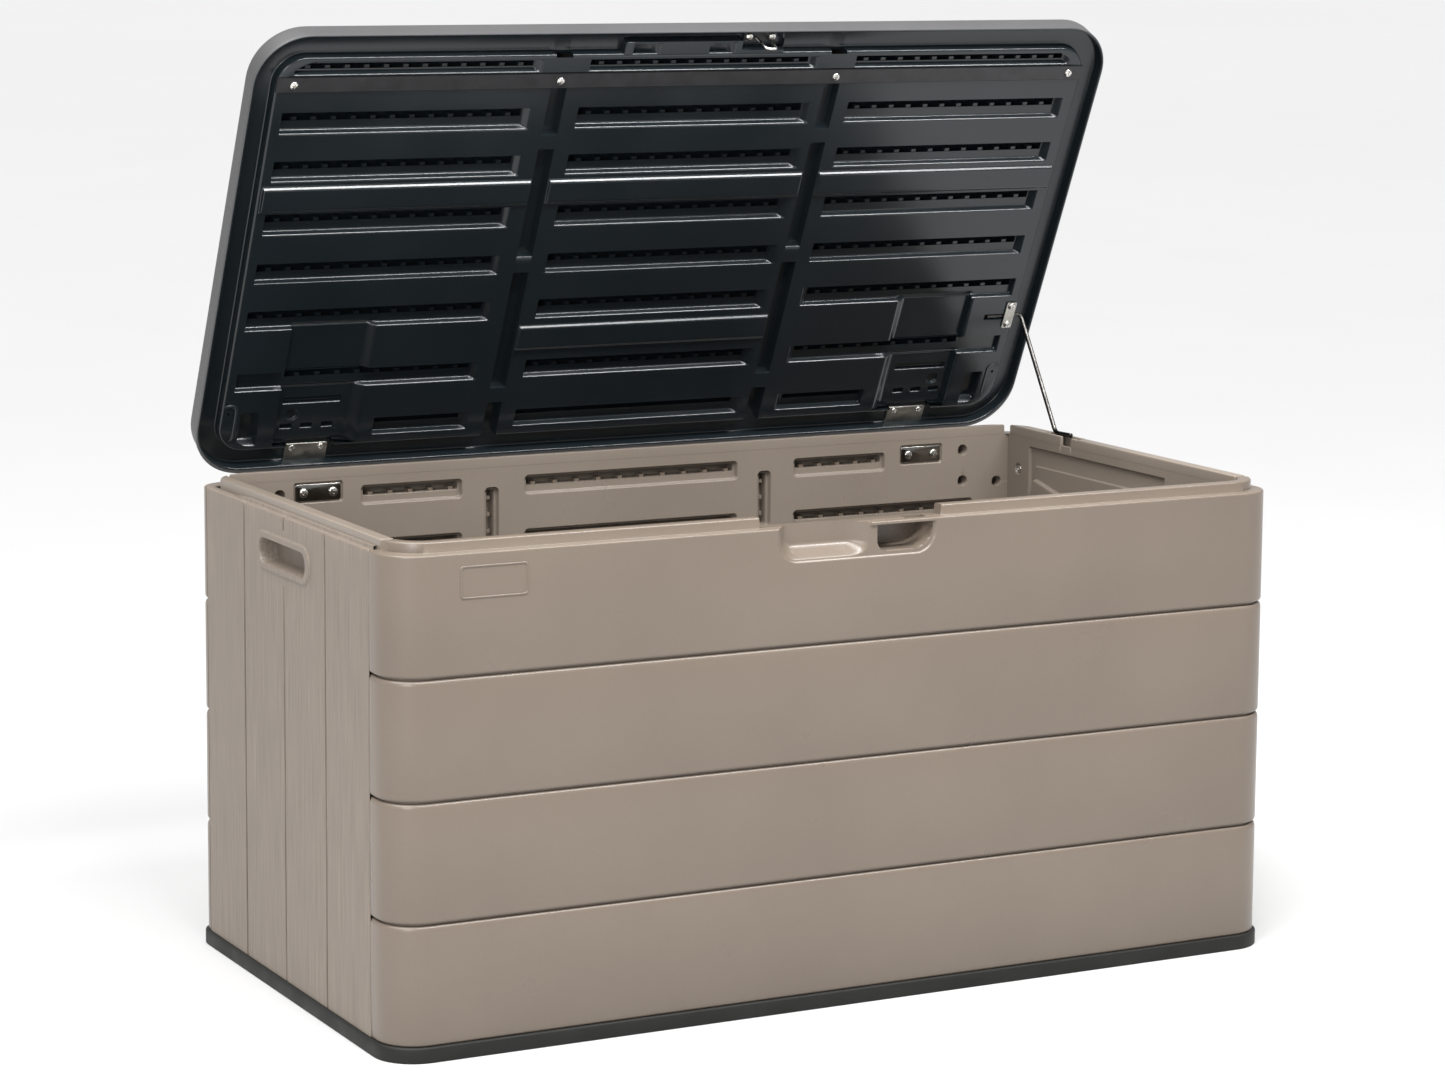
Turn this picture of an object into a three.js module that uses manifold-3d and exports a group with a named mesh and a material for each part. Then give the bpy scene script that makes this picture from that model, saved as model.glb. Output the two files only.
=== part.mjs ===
// Deck storage box: four double-walled plank panels on a base tray, with a deep ribbed lid on two
// rear hinges and a steel stay rod that props the lid open.
// Millimetres. The origin is the centre of the underside, +X right, +Y to the back, +Z up.
import * as THREE from "three";
import { mergeVertices } from "three/addons/utils/BufferGeometryUtils.js";
import Module from "manifold-3d";

const wasm = await Module();
wasm.setup();

// ---------------------------------------------------------------- driving dimensions
const WIDTH = 1210;             // overall, along X
const DEPTH = 630;              // overall, along Y
const SHOULDER = 588;           // top of the planks
const RIM = 601;                // top of the lip that enters the lid
const WALL = 28;                // thickness of a double-walled panel
const BASE_HEIGHT = 19;
const BASE_STEP = 4;            // the tray stands out this far past the planks
const FRONT_RADIUS = 48;        // vertical corners of the front panel
const REAR_RADIUS = 36;         // vertical corners of the back panel
const FRONT_WRAP = 66;          // how far the front panel runs round onto the sides
const REAR_WRAP = 37;           // the same for the back panel
const FRONT_PLANKS = 4;
const SIDE_PLANKS = 4;
const GROOVE = 3;               // depth and half width of the V groove between planks
const GAP = 0.3;                // clearance between pieces that touch
const LIP_SETBACK = 11;         // from the outer face to the lip
const LIP_RADIUS = 50;          // front corners of the lip
const REAR_LIP = 9.5;           // thickness of the lip along the back

const LID_OPEN = 65;            // degrees that the lid is open as modelled
const HINGE_Y = DEPTH / 2 + 13; // the lid pivots behind the back panel, below the shoulder
const HINGE_Z = SHOULDER - 25;
const HINGE_X = 445;            // hinge centres either side of the middle
const SKIRT_BOTTOM = SHOULDER + 0.5;
const LID_TOP = 620.5;
const LID_CROWN = 630;          // top of the raised middle of the lid
const LID_PANEL = 592;          // underside of the lid's inner panel
const LID_TROUGH = 605;         // ceiling of the trough that takes the lip
const LID_HALF = WIDTH / 2 - 1.5;
const LID_FRONT = -DEPTH / 2;
const LID_REAR = DEPTH / 2 - 11;
const LID_RADIUS = 68;
const SKIRT = 4;                // thickness of the lid's skirt
const LIP_CLEAR = 2;            // least room between the skirt and the lip

const ROD_RADIUS = 3;
const ROD_X = 586;              // plane in which the stay rod swings
const ROD_PIVOT_Y = 131;        // rod pivot on the closed lid
const ROD_PIVOT_Z = 595.8;
const ROD_LENGTH = 181;         // pivot to the bend of the foot
const ROD_FOOT = 40;            // foot that lies in the notch of the rim
const ROD_LEG = 56;             // leg held under the bracket on the lid
const ROD_DOWN = 58;            // degrees below the horizontal, with the lid open

// derived
const HALF_W = WIDTH / 2;
const HALF_D = DEPTH / 2;
const INNER_X = HALF_W - WALL;
const INNER_Y = HALF_D - WALL;
const MID_X = HALF_W - WALL / 2;          // plane where the panels' rebates meet
const FRONT_SEAM = -HALF_D + FRONT_WRAP;
const REAR_SEAM = HALF_D - REAR_WRAP;
const LIP_X = HALF_W - LIP_SETBACK;
const LIP_END = -HALF_D + 47;             // the front lip ends just short of the side lips
const TONGUE_X = MID_X + 6;               // the back panel's hidden tongue
const TONGUE_Y = REAR_SEAM - 33;

// ---------------------------------------------------------------- materials
function material(colour, roughness, metalness) {
  return new THREE.MeshStandardMaterial({ color: colour, roughness, metalness });
}
const TAUPE = material(0x96887a, 0.55, 0);
const BLACK_BASE = material(0x323230, 0.6, 0);
const LID_BLACK = material(0x33363a, 0.35, 0);
const BAR_BLACK = material(0x1b1b1c, 0.4, 0.6);
const CHROME = material(0xc9c9c6, 0.22, 1);
const ZINC = material(0x9b9a96, 0.38, 1);

// ---------------------------------------------------------------- shape helpers
function arc(cx, cy, radius, fromDegrees, toDegrees, steps) {
  const points = [];
  for (let i = 0; i <= steps; i += 1) {
    const a = THREE.MathUtils.degToRad(fromDegrees + ((toDegrees - fromDegrees) * i) / steps);
    points.push([cx + radius * Math.cos(a), cy + radius * Math.sin(a)]);
  }
  return points;
}

// A rectangle with round corners; the two low corners may differ from the two high ones.
function roundedRect(x0, x1, y0, y1, lowRadius, highRadius = lowRadius, steps = 6) {
  return [
    ...arc(x0 + lowRadius, y0 + lowRadius, lowRadius, 180, 270, steps),
    ...arc(x1 - lowRadius, y0 + lowRadius, lowRadius, 270, 360, steps),
    ...arc(x1 - highRadius, y1 - highRadius, highRadius, 0, 90, steps),
    ...arc(x0 + highRadius, y1 - highRadius, highRadius, 90, 180, steps),
  ];
}

// A closed body through horizontal rings: each ring is {z, points}, all with as many points.
function loft(rings) {
  const count = rings[0].points.length;
  const vertices = rings.flatMap((ring) => ring.points.flatMap(([x, y]) => [x, y, ring.z]));
  const faces = [];
  for (let r = 0; r + 1 < rings.length; r += 1) {
    for (let i = 0; i < count; i += 1) {
      const a = r * count + i;
      const b = r * count + ((i + 1) % count);
      faces.push(a, b, b + count, a, b + count, a + count);
    }
  }
  for (const [ring, turn] of [[0, true], [rings.length - 1, false]]) {
    const flat = rings[ring].points.map(([x, y]) => new THREE.Vector2(x, y));
    for (const [a, b, c] of THREE.ShapeUtils.triangulateShape(flat, [])) {
      const offset = ring * count;
      faces.push(offset + a, offset + (turn ? c : b), offset + (turn ? b : c));
    }
  }
  const geometry = new THREE.BufferGeometry();
  geometry.setAttribute("position", new THREE.Float32BufferAttribute(vertices, 3));
  geometry.setIndex(faces);
  return geometry;
}

function prismZ(points, z0, z1) {
  return loft([{ z: z0, points }, { z: z1, points }]);
}

// A prism along X; its points are (y, z).
function prismX(points, x0, x1) {
  const basis = new THREE.Matrix4().makeBasis(
    new THREE.Vector3(0, 1, 0), new THREE.Vector3(0, 0, 1), new THREE.Vector3(1, 0, 0));
  return prismZ(points, x0, x1).applyMatrix4(basis);
}

// A prism along Y; its points are (x, z).
function prismY(points, y0, y1) {
  const basis = new THREE.Matrix4().makeBasis(
    new THREE.Vector3(1, 0, 0), new THREE.Vector3(0, 0, 1), new THREE.Vector3(0, -1, 0));
  return prismZ(points, -y1, -y0).applyMatrix4(basis);
}

function box(x0, x1, y0, y1, z0, z1) {
  const geometry = new THREE.BoxGeometry(x1 - x0, y1 - y0, z1 - z0);
  return geometry.translate((x0 + x1) / 2, (y0 + y1) / 2, (z0 + z1) / 2);
}

// A cylinder between two heights on an axis ("x", "y" or "z") through the given point.
function rod(axis, [x, y, z], from, to, radius, sides = 16) {
  const geometry = new THREE.CylinderGeometry(radius, radius, to - from, sides);
  if (axis === "x") geometry.rotateZ(-Math.PI / 2);
  if (axis === "z") geometry.rotateX(Math.PI / 2);
  const middle = (from + to) / 2;
  return geometry.translate(
    axis === "x" ? middle : x, axis === "y" ? middle : y, axis === "z" ? middle : z);
}

// A round bar that follows straight runs joined by round bends.
function bentBar(points, bend, radius, sides = 12) {
  const path = new THREE.CurvePath();
  let start = points[0];
  for (let i = 1; i + 1 < points.length; i += 1) {
    const before = points[i].clone().sub(points[i - 1]).setLength(bend);
    const after = points[i + 1].clone().sub(points[i]).setLength(bend);
    const bendStart = points[i].clone().sub(before);
    const bendEnd = points[i].clone().add(after);
    path.add(new THREE.LineCurve3(start, bendStart));
    path.add(new THREE.QuadraticBezierCurve3(bendStart, points[i], bendEnd));
    start = bendEnd;
  }
  path.add(new THREE.LineCurve3(start, points[points.length - 1]));
  const section = new THREE.Shape(
    arc(0, 0, radius, 0, 360, sides).slice(0, -1).map(([x, y]) => new THREE.Vector2(x, y)));
  const steps = Math.min(40, Math.round(path.getLength() / (3 * radius)) + 12);
  return new THREE.ExtrudeGeometry(section, { steps, extrudePath: path, bevelEnabled: false });
}

// ---------------------------------------------------------------- joining and cutting
function solid(geometry) {
  const bare = geometry.clone();
  bare.deleteAttribute("normal");
  bare.deleteAttribute("uv");
  const merged = mergeVertices(bare, 1e-4);
  return new wasm.Manifold(new wasm.Mesh({
    numProp: 3,
    vertProperties: new Float32Array(merged.attributes.position.array),
    triVerts: new Uint32Array(merged.index.array),
  }));
}

// The first geometry, held within some, with others joined on and the last ones cut away.
function shaped(start, { within = [], join = [], cut = [] }) {
  let body = solid(start);
  for (const piece of within) body = body.intersect(solid(piece));
  for (const piece of join) body = body.add(solid(piece));
  for (const piece of cut) body = body.subtract(solid(piece));
  const mesh = body.getMesh();
  const geometry = new THREE.BufferGeometry();
  geometry.setAttribute("position", new THREE.Float32BufferAttribute(mesh.vertProperties, 3));
  geometry.setIndex(new THREE.Uint32BufferAttribute(mesh.triVerts, 1));
  return geometry;
}

function place(parent, name, geometry, finish) {
  const mesh = new THREE.Mesh(geometry, finish);
  mesh.name = name;
  parent.add(mesh);
}

// ---------------------------------------------------------------- fasteners
const SCREW = { head: 5.2, thick: 2.6, shank: 2.2 };
const SCREW_HOLE = SCREW.shank + GAP;
const CORNER_SCREWS = [
  { y: FRONT_SEAM - 19, z: 542 },
  { y: FRONT_SEAM - 19, z: 90 },
  { y: REAR_SEAM - 19, z: 542 },
  { y: REAR_SEAM - 19, z: 90 },
];
const CORNER_SINK = 4;          // depth of the countersink that hides a corner screw's head

// A pan-head screw on a vertical or horizontal axis: its head lies at `head`, its tip at `tip`.
function screw(axis, at, head, tip) {
  const towards = Math.sign(tip - head);
  const under = head + towards * SCREW.thick;
  const [h0, h1] = [Math.min(head, under), Math.max(head, under)];
  const [s0, s1] = [Math.min(under - towards, tip), Math.max(under - towards, tip)];
  const shank = rod(axis, at, s0, s1, SCREW.shank, 8);
  return shaped(rod(axis, at, h0, h1, SCREW.head, 16), { join: [shank] });
}

// ---------------------------------------------------------------- base tray
function trayOutline(step) {
  return roundedRect(-HALF_W - step, HALF_W + step, -HALF_D - step, HALF_D + step,
    FRONT_RADIUS + step, REAR_RADIUS + step, 8);
}

function baseTray() {
  const chamfer = 2;
  const top = BASE_HEIGHT - GAP;
  const slab = loft([
    { z: 0, points: trayOutline(BASE_STEP - chamfer) },
    { z: chamfer, points: trayOutline(BASE_STEP) },
    { z: top - chamfer, points: trayOutline(BASE_STEP) },
    { z: top, points: trayOutline(BASE_STEP - chamfer) },
  ]);
  const locating = box(-INNER_X + GAP, INNER_X - GAP, -INNER_Y + GAP, INNER_Y - GAP, top - 2, 26);
  return shaped(slab, { join: [locating] });
}

// ---------------------------------------------------------------- front panel
const RECESS = { x0: -112, x1: 103, bottom: 545, deep: 20, radius: 28 };
const LOCK = { x0: 24, x1: 101, bottom: 552, roof: 584, deep: 40, radius: 22 };
const HASP_X = 80;
const HASP_Y = -300;

// The rings of a wall of horizontal planks: the outer face steps in at each V groove.
function plankRings(outline, planks) {
  const pitch = (SHOULDER - BASE_HEIGHT) / planks;
  const rings = [];
  for (let i = 0; i < planks; i += 1) {
    const low = BASE_HEIGHT + i * pitch;
    rings.push({ z: low, points: outline(i === 0 ? 1 : GROOVE) });
    rings.push({ z: low + GROOVE, points: outline(0) });
    rings.push({ z: low + pitch - GROOVE, points: outline(0) });
  }
  rings.push({ z: SHOULDER, points: outline(GROOVE - 1) });
  return rings;
}

function frontOutline(inset) {
  const radius = FRONT_RADIUS - inset;
  const cx = HALF_W - FRONT_RADIUS;
  const cy = -HALF_D + FRONT_RADIUS;
  return [
    [-HALF_W + inset, FRONT_SEAM],
    ...arc(-cx, cy, radius, 180, 270, 8),
    ...arc(cx, cy, radius, 270, 360, 8),
    [HALF_W - inset, FRONT_SEAM],
    [MID_X, FRONT_SEAM],
    [MID_X, -INNER_Y],
    [-MID_X, -INNER_Y],
    [-MID_X, FRONT_SEAM],
  ];
}

// An arc of the lip's front corner, right-hand side, from where the lip ends to the front face.
function lipCorner(radius) {
  const cx = LIP_X - LIP_RADIUS;
  const cy = -HALF_D + LIP_SETBACK + LIP_RADIUS;
  const start = THREE.MathUtils.radToDeg(Math.asin((LIP_END - cy) / radius));
  return arc(cx, cy, radius, start, -90, 8);
}

function frontLip() {
  const outer = lipCorner(LIP_RADIUS);
  const inner = lipCorner(LIP_RADIUS - WALL + LIP_SETBACK);
  return prismZ([
    ...mirrorX(outer).reverse(),
    ...outer.slice().reverse(),
    ...inner,
    ...mirrorX(inner),
  ], SHOULDER - 1, RIM);
}

// A lip cut back to run inside the closed lid's skirt, round corners included.
function insideSkirt(lip) {
  const room = prismZ(lidOutline(SKIRT + LIP_CLEAR), SHOULDER - 5, RIM + 5);
  return shaped(lip, { within: [room] });
}

function frontPanel() {
  const join = [frontLip()];
  const bossFace = -HALF_D + LOCK.deep + 6;
  join.push(box(LOCK.x0 - 8, LOCK.x1 + 8, -INNER_Y - 2, bossFace, LOCK.bottom - 10, SHOULDER));

  const deepFace = -HALF_D + RECESS.deep;
  const scoop = roundedRect(RECESS.x0, LOCK.x0 - 12, RECESS.bottom, RIM + 40, RECESS.radius);
  const lock = roundedRect(LOCK.x0, LOCK.x1, LOCK.bottom, LOCK.roof, LOCK.radius, 3);
  const cut = [
    prismY(scoop, -HALF_D - 5, deepFace),
    prismY(lock, -HALF_D - 5, -HALF_D + LOCK.deep),
    box(RECESS.x0 - 19, RECESS.x1 + 14, -HALF_D - 5, -INNER_Y + 5, SHOULDER, RIM + 5),
    box(HASP_X - 15, HASP_X + 15, HASP_Y - 6, HASP_Y + 6, LOCK.roof - 5, SHOULDER + 5),
  ];
  for (const at of CORNER_SCREWS.filter(({ y }) => y < 0)) {
    for (const side of [-1, 1]) cut.push(cornerHole(side, at));
  }
  return shaped(loft(plankRings(frontOutline, FRONT_PLANKS)), { join, cut });
}

// ---------------------------------------------------------------- back panel
const LEAF_HALF = 30;           // half the width of a hinge leaf
const LEAF_SCREW = 20;          // its two fixings, either side of the middle
const BACKING = { z0: 557, z1: 583, recess: 3, thick: 2.2 };

function backOutline(inset) {
  const radius = REAR_RADIUS - inset;
  const cx = HALF_W - REAR_RADIUS;
  const cy = HALF_D - REAR_RADIUS;
  return [
    [HALF_W - inset, REAR_SEAM],
    ...arc(cx, cy, radius, 0, 90, 8),
    ...arc(-cx, cy, radius, 90, 180, 8),
    [-HALF_W + inset, REAR_SEAM],
    [-TONGUE_X, REAR_SEAM],
    [-TONGUE_X, TONGUE_Y],
    [-MID_X, TONGUE_Y],
    [-MID_X, INNER_Y],
    [MID_X, INNER_Y],
    [MID_X, TONGUE_Y],
    [TONGUE_X, TONGUE_Y],
    [TONGUE_X, REAR_SEAM],
  ];
}

function backPanel() {
  const join = [insideSkirt(box(-LIP_X, LIP_X, INNER_Y, INNER_Y + REAR_LIP, SHOULDER - 1, RIM))];
  const cut = [];
  for (const side of [-1, 1]) {
    const x = side * HINGE_X;
    const recess = roundedRect(x - LEAF_HALF - 3, x + LEAF_HALF + 3, BACKING.z0 - 3, BACKING.z1 + 3, 4);
    cut.push(prismY(recess, INNER_Y - 5, INNER_Y + BACKING.recess));
    for (const offset of [-LEAF_SCREW, LEAF_SCREW]) {
      cut.push(rod("y", [x + offset, 0, 570], INNER_Y - 1, HALF_D + 1, SCREW_HOLE, 8));
    }
    for (const at of CORNER_SCREWS.filter(({ y }) => y > 0)) cut.push(cornerHole(side, at));
  }
  return shaped(loft(plankRings(backOutline, FRONT_PLANKS)), { join, cut });
}

// ---------------------------------------------------------------- side panels
const HANDLE = { y: 15, z: 539, length: 175, height: 50, raised: 2.5, slot: 150, open: 32, deep: 22 };

function cornerHole(side, { y, z }) {
  const ends = [side * (INNER_X - 1), side * (TONGUE_X - 0.5)];
  return rod("x", [0, y, z], Math.min(...ends), Math.max(...ends), SCREW_HOLE, 8);
}

function cornerSink(side, { y, z }) {
  const ends = [side * (INNER_X - 1), side * (INNER_X + CORNER_SINK)];
  return rod("x", [0, y, z], Math.min(...ends), Math.max(...ends), SCREW.head + 2, 16);
}

// Plan of the right-hand side panel, its tongue and rebate included.
function sideOutline() {
  const pitch = (REAR_SEAM - FRONT_SEAM) / SIDE_PLANKS;
  const points = [
    [INNER_X, -INNER_Y + GAP],
    [MID_X - GAP, -INNER_Y + GAP],
    [MID_X - GAP, FRONT_SEAM + GAP],
    [HALF_W - 1.5, FRONT_SEAM + GAP],
    [HALF_W, FRONT_SEAM + 2],
  ];
  for (let i = 1; i < SIDE_PLANKS; i += 1) {
    const y = FRONT_SEAM + i * pitch;
    points.push([HALF_W, y - GROOVE], [HALF_W - GROOVE, y], [HALF_W, y + GROOVE]);
  }
  points.push(
    [HALF_W, REAR_SEAM - 2],
    [HALF_W - 1.5, REAR_SEAM - GAP],
    [TONGUE_X + GAP, REAR_SEAM - GAP],
    [TONGUE_X + GAP, TONGUE_Y - GAP],
    [MID_X - GAP, TONGUE_Y - GAP],
    [MID_X - GAP, INNER_Y - GAP],
    [INNER_X, INNER_Y - GAP],
  );
  return points;
}

function mirrorX(points) {
  return points.map(([x, y]) => [-x, y]).reverse();
}

// Cavity in the right-hand panel that the stay rod drops into, and its notch in the rim.
function rodCavity() {
  const half = ROD_RADIUS + 1.5;
  return [
    box(ROD_X - half, ROD_X + half, 78, 196, 385, 585),
    box(ROD_X - half, ROD_X + half, 112, 196, 580, RIM + 5),
    box(INNER_X - 5, ROD_X, 126, 152, SHOULDER, RIM + 5),
  ];
}

function sidePanel(side) {
  const plan = side > 0 ? sideOutline() : mirrorX(sideOutline());
  const lipCore = roundedRect(INNER_X, MID_X - GAP, FRONT_SEAM - 8, INNER_Y - GAP, 0.5);
  const lipEdge = roundedRect(MID_X - 5, LIP_X, FRONT_SEAM - 8, INNER_Y - GAP, 0.5);
  const flip = (points) => (side > 0 ? points : mirrorX(points));
  const outer = side * HALF_W;
  const bezel = roundedRect(HANDLE.y - HANDLE.length / 2, HANDLE.y + HANDLE.length / 2,
    HANDLE.z - HANDLE.height / 2, HANDLE.z + HANDLE.height / 2, 22);
  const slot = roundedRect(HANDLE.y - HANDLE.slot / 2, HANDLE.y + HANDLE.slot / 2,
    HANDLE.z - HANDLE.open / 2, HANDLE.z + HANDLE.open / 2, 15);
  const span = (a, b) => [Math.min(a, b), Math.max(a, b)];
  const join = [
    insideSkirt(prismZ(flip(lipCore), SHOULDER - 1, RIM)),
    insideSkirt(prismZ(flip(lipEdge), SHOULDER + GAP, RIM)),
    prismX(bezel, ...span(outer - side * 5, outer + side * HANDLE.raised)),
  ];
  const cut = [
    prismX(slot, ...span(outer - side * HANDLE.deep, outer + side * 10)),
    ...CORNER_SCREWS.map((at) => cornerHole(side, at)),
    ...CORNER_SCREWS.map((at) => cornerSink(side, at)),
  ];
  const tongue = span(side * (INNER_X - 5), side * MID_X);
  cut.push(box(...tongue, -INNER_Y - 5, LIP_END + GAP, SHOULDER - 1 - GAP, SHOULDER + 5));
  if (side > 0) cut.push(...rodCavity());
  return shaped(prismZ(plan, BASE_HEIGHT, SHOULDER), { join, cut });
}

// ---------------------------------------------------------------- lid (drawn closed)
const CHANNELS = [-197, 197];    // grooves that split the underside into three columns
const CHANNEL_HALF = 12.5;
const BAR = { y0: -257, y1: -238, z0: 589.6, z1: 594.6, screws: [-550, -196, 196, 550] };
const BRACKET = { x0: 556, x1: 571, y0: 108, y1: 148, screws: [114, 142], thick: 2 };
const LID_LEAF = { z0: 602, z1: 604.5, front: 271, screwY: 280 };
const HASP = { half: 23, y0: HASP_Y - 6.5, y1: HASP_Y + 6.5, thick: 2.5, screw: 16.5 };

function lidOutline(inset) {
  return roundedRect(-LID_HALF + inset, LID_HALF - inset, LID_FRONT + inset, LID_REAR - inset,
    LID_RADIUS - inset, LID_RADIUS - inset, 10);
}

function lidPanel() {
  const skirt = loft([
    { z: SKIRT_BOTTOM, points: lidOutline(1.5) },
    { z: SKIRT_BOTTOM + 3, points: lidOutline(0) },
    { z: LID_TOP - 9, points: lidOutline(0) },
    { z: LID_TOP - 3, points: lidOutline(2.5) },
    { z: LID_TOP, points: lidOutline(8) },
  ]);
  const crownAt = (z, inset) => ({
    z,
    points: roundedRect(-LID_HALF + 40 + inset, LID_HALF - 40 - inset,
      LID_FRONT + 65 + inset, LID_REAR - 40 - inset, 45, 45, 6),
  });
  const crown = loft([crownAt(LID_TOP - 2, 0), crownAt(LID_CROWN - 3, 3), crownAt(LID_CROWN, 8)]);

  const panelX = INNER_X - 4;
  const panelFront = -INNER_Y + 4;
  const panelRear = INNER_Y - 11;
  const panel = prismZ(roundedRect(-panelX, panelX, panelFront, panelRear, 38, 38, 8), 570, 640);
  const trough = shaped(prismZ(lidOutline(SKIRT), 580, LID_TROUGH), { cut: [panel] });
  const cut = [
    trough,
    box(-panelX - 1, panelX + 1, panelFront - 1, panelRear + 1, 580, LID_PANEL),
    box(-panelX - 1, panelX + 1, BAR.y0 - 1, BAR.y1 + 1, 580, BAR.z1 + GAP),
    box(ROD_X - ROD_LEG - 3, panelX + 1,
      ROD_PIVOT_Y - ROD_RADIUS - 0.8, ROD_PIVOT_Y + ROD_RADIUS + 0.8, 580, ROD_PIVOT_Z + ROD_RADIUS + 0.8),
  ];
  for (const x of CHANNELS) {
    cut.push(box(x - CHANNEL_HALF, x + CHANNEL_HALF, BAR.y1 + 1, panelRear + 1, 580, LID_TROUGH));
  }
  for (const side of [-1, 1]) {
    const x = side * HINGE_X;
    cut.push(box(x - LEAF_HALF - 2, x + LEAF_HALF + 2, LID_LEAF.front - 1, LID_REAR + 5, 580, LID_TROUGH));
  }
  for (const { axis, at, from, to } of lidScrewHoles()) {
    cut.push(rod(axis, at, from, to, SCREW_HOLE, 8));
  }
  return shaped(skirt, { join: [crown], cut });
}

function lidScrewHoles() {
  const holes = [];
  const down = (x, y, to) => holes.push({ axis: "z", at: [x, y, 0], from: 580, to });
  for (const x of BAR.screws) down(x, (BAR.y0 + BAR.y1) / 2, 612);
  for (const y of BRACKET.screws) down((BRACKET.x0 + BRACKET.x1) / 2, y, 610);
  for (const side of [-1, 1]) {
    for (const offset of [-LEAF_SCREW, LEAF_SCREW]) down(side * HINGE_X + offset, LID_LEAF.screwY, 615);
    down(HASP_X + side * HASP.screw, HASP_Y, 615);
  }
  return holes;
}

function stiffenerBar() {
  const middle = (BAR.y0 + BAR.y1) / 2;
  const cut = BAR.screws.map((x) => rod("z", [x, middle, 0], 580, 600, SCREW_HOLE, 8));
  return shaped(box(-INNER_X + 5, INNER_X - 5, BAR.y0, BAR.y1, BAR.z0, BAR.z1), { cut });
}

function haspPlate() {
  const top = LID_TROUGH - GAP;
  const plate = prismZ(roundedRect(HASP_X - HASP.half, HASP_X + HASP.half, HASP.y0, HASP.y1, 2, 2, 3),
    top - HASP.thick, top);
  const cut = [-1, 1].map((side) =>
    rod("z", [HASP_X + side * HASP.screw, HASP_Y, 0], 590, 610, SCREW_HOLE, 8));
  return shaped(plate, { cut });
}

function haspLoop() {
  const top = LID_TROUGH - GAP - HASP.thick - GAP;
  const half = 7.5;
  const low = top - 34;
  return bentBar([
    new THREE.Vector3(HASP_X - half, HASP_Y, top),
    new THREE.Vector3(HASP_X - half, HASP_Y, low),
    new THREE.Vector3(HASP_X + half, HASP_Y, low),
    new THREE.Vector3(HASP_X + half, HASP_Y, top),
  ], 6, 2, 10);
}

function stayBracket() {
  const top = LID_PANEL - GAP;
  const plate = prismZ(roundedRect(BRACKET.x0, BRACKET.x1, BRACKET.y0, BRACKET.y1, 2, 2, 3),
    top - BRACKET.thick, top);
  const cut = BRACKET.screws.map((y) =>
    rod("z", [(BRACKET.x0 + BRACKET.x1) / 2, y, 0], 580, 600, SCREW_HOLE, 8));
  return shaped(plate, { cut });
}

// ---------------------------------------------------------------- hinges
const KNUCKLE = 6;
const PIN = 2.5;
const KNUCKLE_SPLIT = 12;       // the lid's knuckle fills the middle, the body's the two ends

function bodyLeaf(x) {
  const face = HALF_D + GAP;
  const plate = box(x - LEAF_HALF, x + LEAF_HALF, face, face + 2.2, 540, HINGE_Z + 17);
  const join = [];
  const cut = [rod("x", [0, HINGE_Y, HINGE_Z], x - 40, x + 40, PIN + GAP, 12)];
  for (const side of [-1, 1]) {
    const ends = [x + side * LEAF_HALF, x + side * KNUCKLE_SPLIT].sort((a, b) => a - b);
    join.push(rod("x", [0, HINGE_Y, HINGE_Z], ...ends, KNUCKLE, 16));
    join.push(box(...ends, face, HINGE_Y, HINGE_Z - KNUCKLE, HINGE_Z - KNUCKLE + 2.5));
    cut.push(rod("y", [x + side * LEAF_SCREW, 0, 570], face - 2, face + 2.7, SCREW_HOLE, 8));
  }
  return shaped(plate, { join, cut });
}

function lidLeaf(x) {
  const half = KNUCKLE_SPLIT - 0.6;
  const outer = HINGE_Y + KNUCKLE;
  const plate = box(x - LEAF_HALF, x + LEAF_HALF, LID_LEAF.front, LID_REAR + 4, LID_LEAF.z0, LID_LEAF.z1);
  const join = [
    box(x - half, x + half, LID_REAR, outer, LID_LEAF.z0, LID_LEAF.z1),
    box(x - half, x + half, outer - 2.5, outer, HINGE_Z, LID_LEAF.z1),
    rod("x", [0, HINGE_Y, HINGE_Z], x - half, x + half, KNUCKLE, 16),
  ];
  const cut = [rod("x", [0, HINGE_Y, HINGE_Z], x - 40, x + 40, PIN + GAP, 12)];
  for (const offset of [-LEAF_SCREW, LEAF_SCREW]) {
    cut.push(rod("z", [x + offset, LID_LEAF.screwY, 0], 595, 610, SCREW_HOLE, 8));
  }
  return shaped(plate, { join, cut });
}

function backingPlate(x) {
  const y1 = INNER_Y + BACKING.recess - GAP;
  const outline = roundedRect(x - LEAF_HALF, x + LEAF_HALF, BACKING.z0, BACKING.z1, 3, 3, 3);
  const cut = [-LEAF_SCREW, LEAF_SCREW].map((offset) =>
    rod("y", [x + offset, 0, 570], INNER_Y - 5, INNER_Y + 10, SCREW_HOLE, 8));
  return shaped(prismY(outline, y1 - BACKING.thick, y1), { cut });
}

// ---------------------------------------------------------------- stay rod (drawn with the lid open)
function pivotWhenOpen() {
  const a = THREE.MathUtils.degToRad(-LID_OPEN);
  const y = ROD_PIVOT_Y - HINGE_Y;
  const z = ROD_PIVOT_Z - HINGE_Z;
  return [HINGE_Y + y * Math.cos(a) - z * Math.sin(a), HINGE_Z + y * Math.sin(a) + z * Math.cos(a)];
}

function stayRod() {
  const [y, z] = pivotWhenOpen();
  const a = THREE.MathUtils.degToRad(ROD_DOWN);
  const footY = y - ROD_LENGTH * Math.cos(a);
  const footZ = z - ROD_LENGTH * Math.sin(a);
  return bentBar([
    new THREE.Vector3(ROD_X - ROD_LEG, y, z),
    new THREE.Vector3(ROD_X, y, z),
    new THREE.Vector3(ROD_X, footY, footZ),
    new THREE.Vector3(ROD_X, footY - ROD_FOOT, footZ + 1),
  ], 8, ROD_RADIUS, 10);
}

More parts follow.
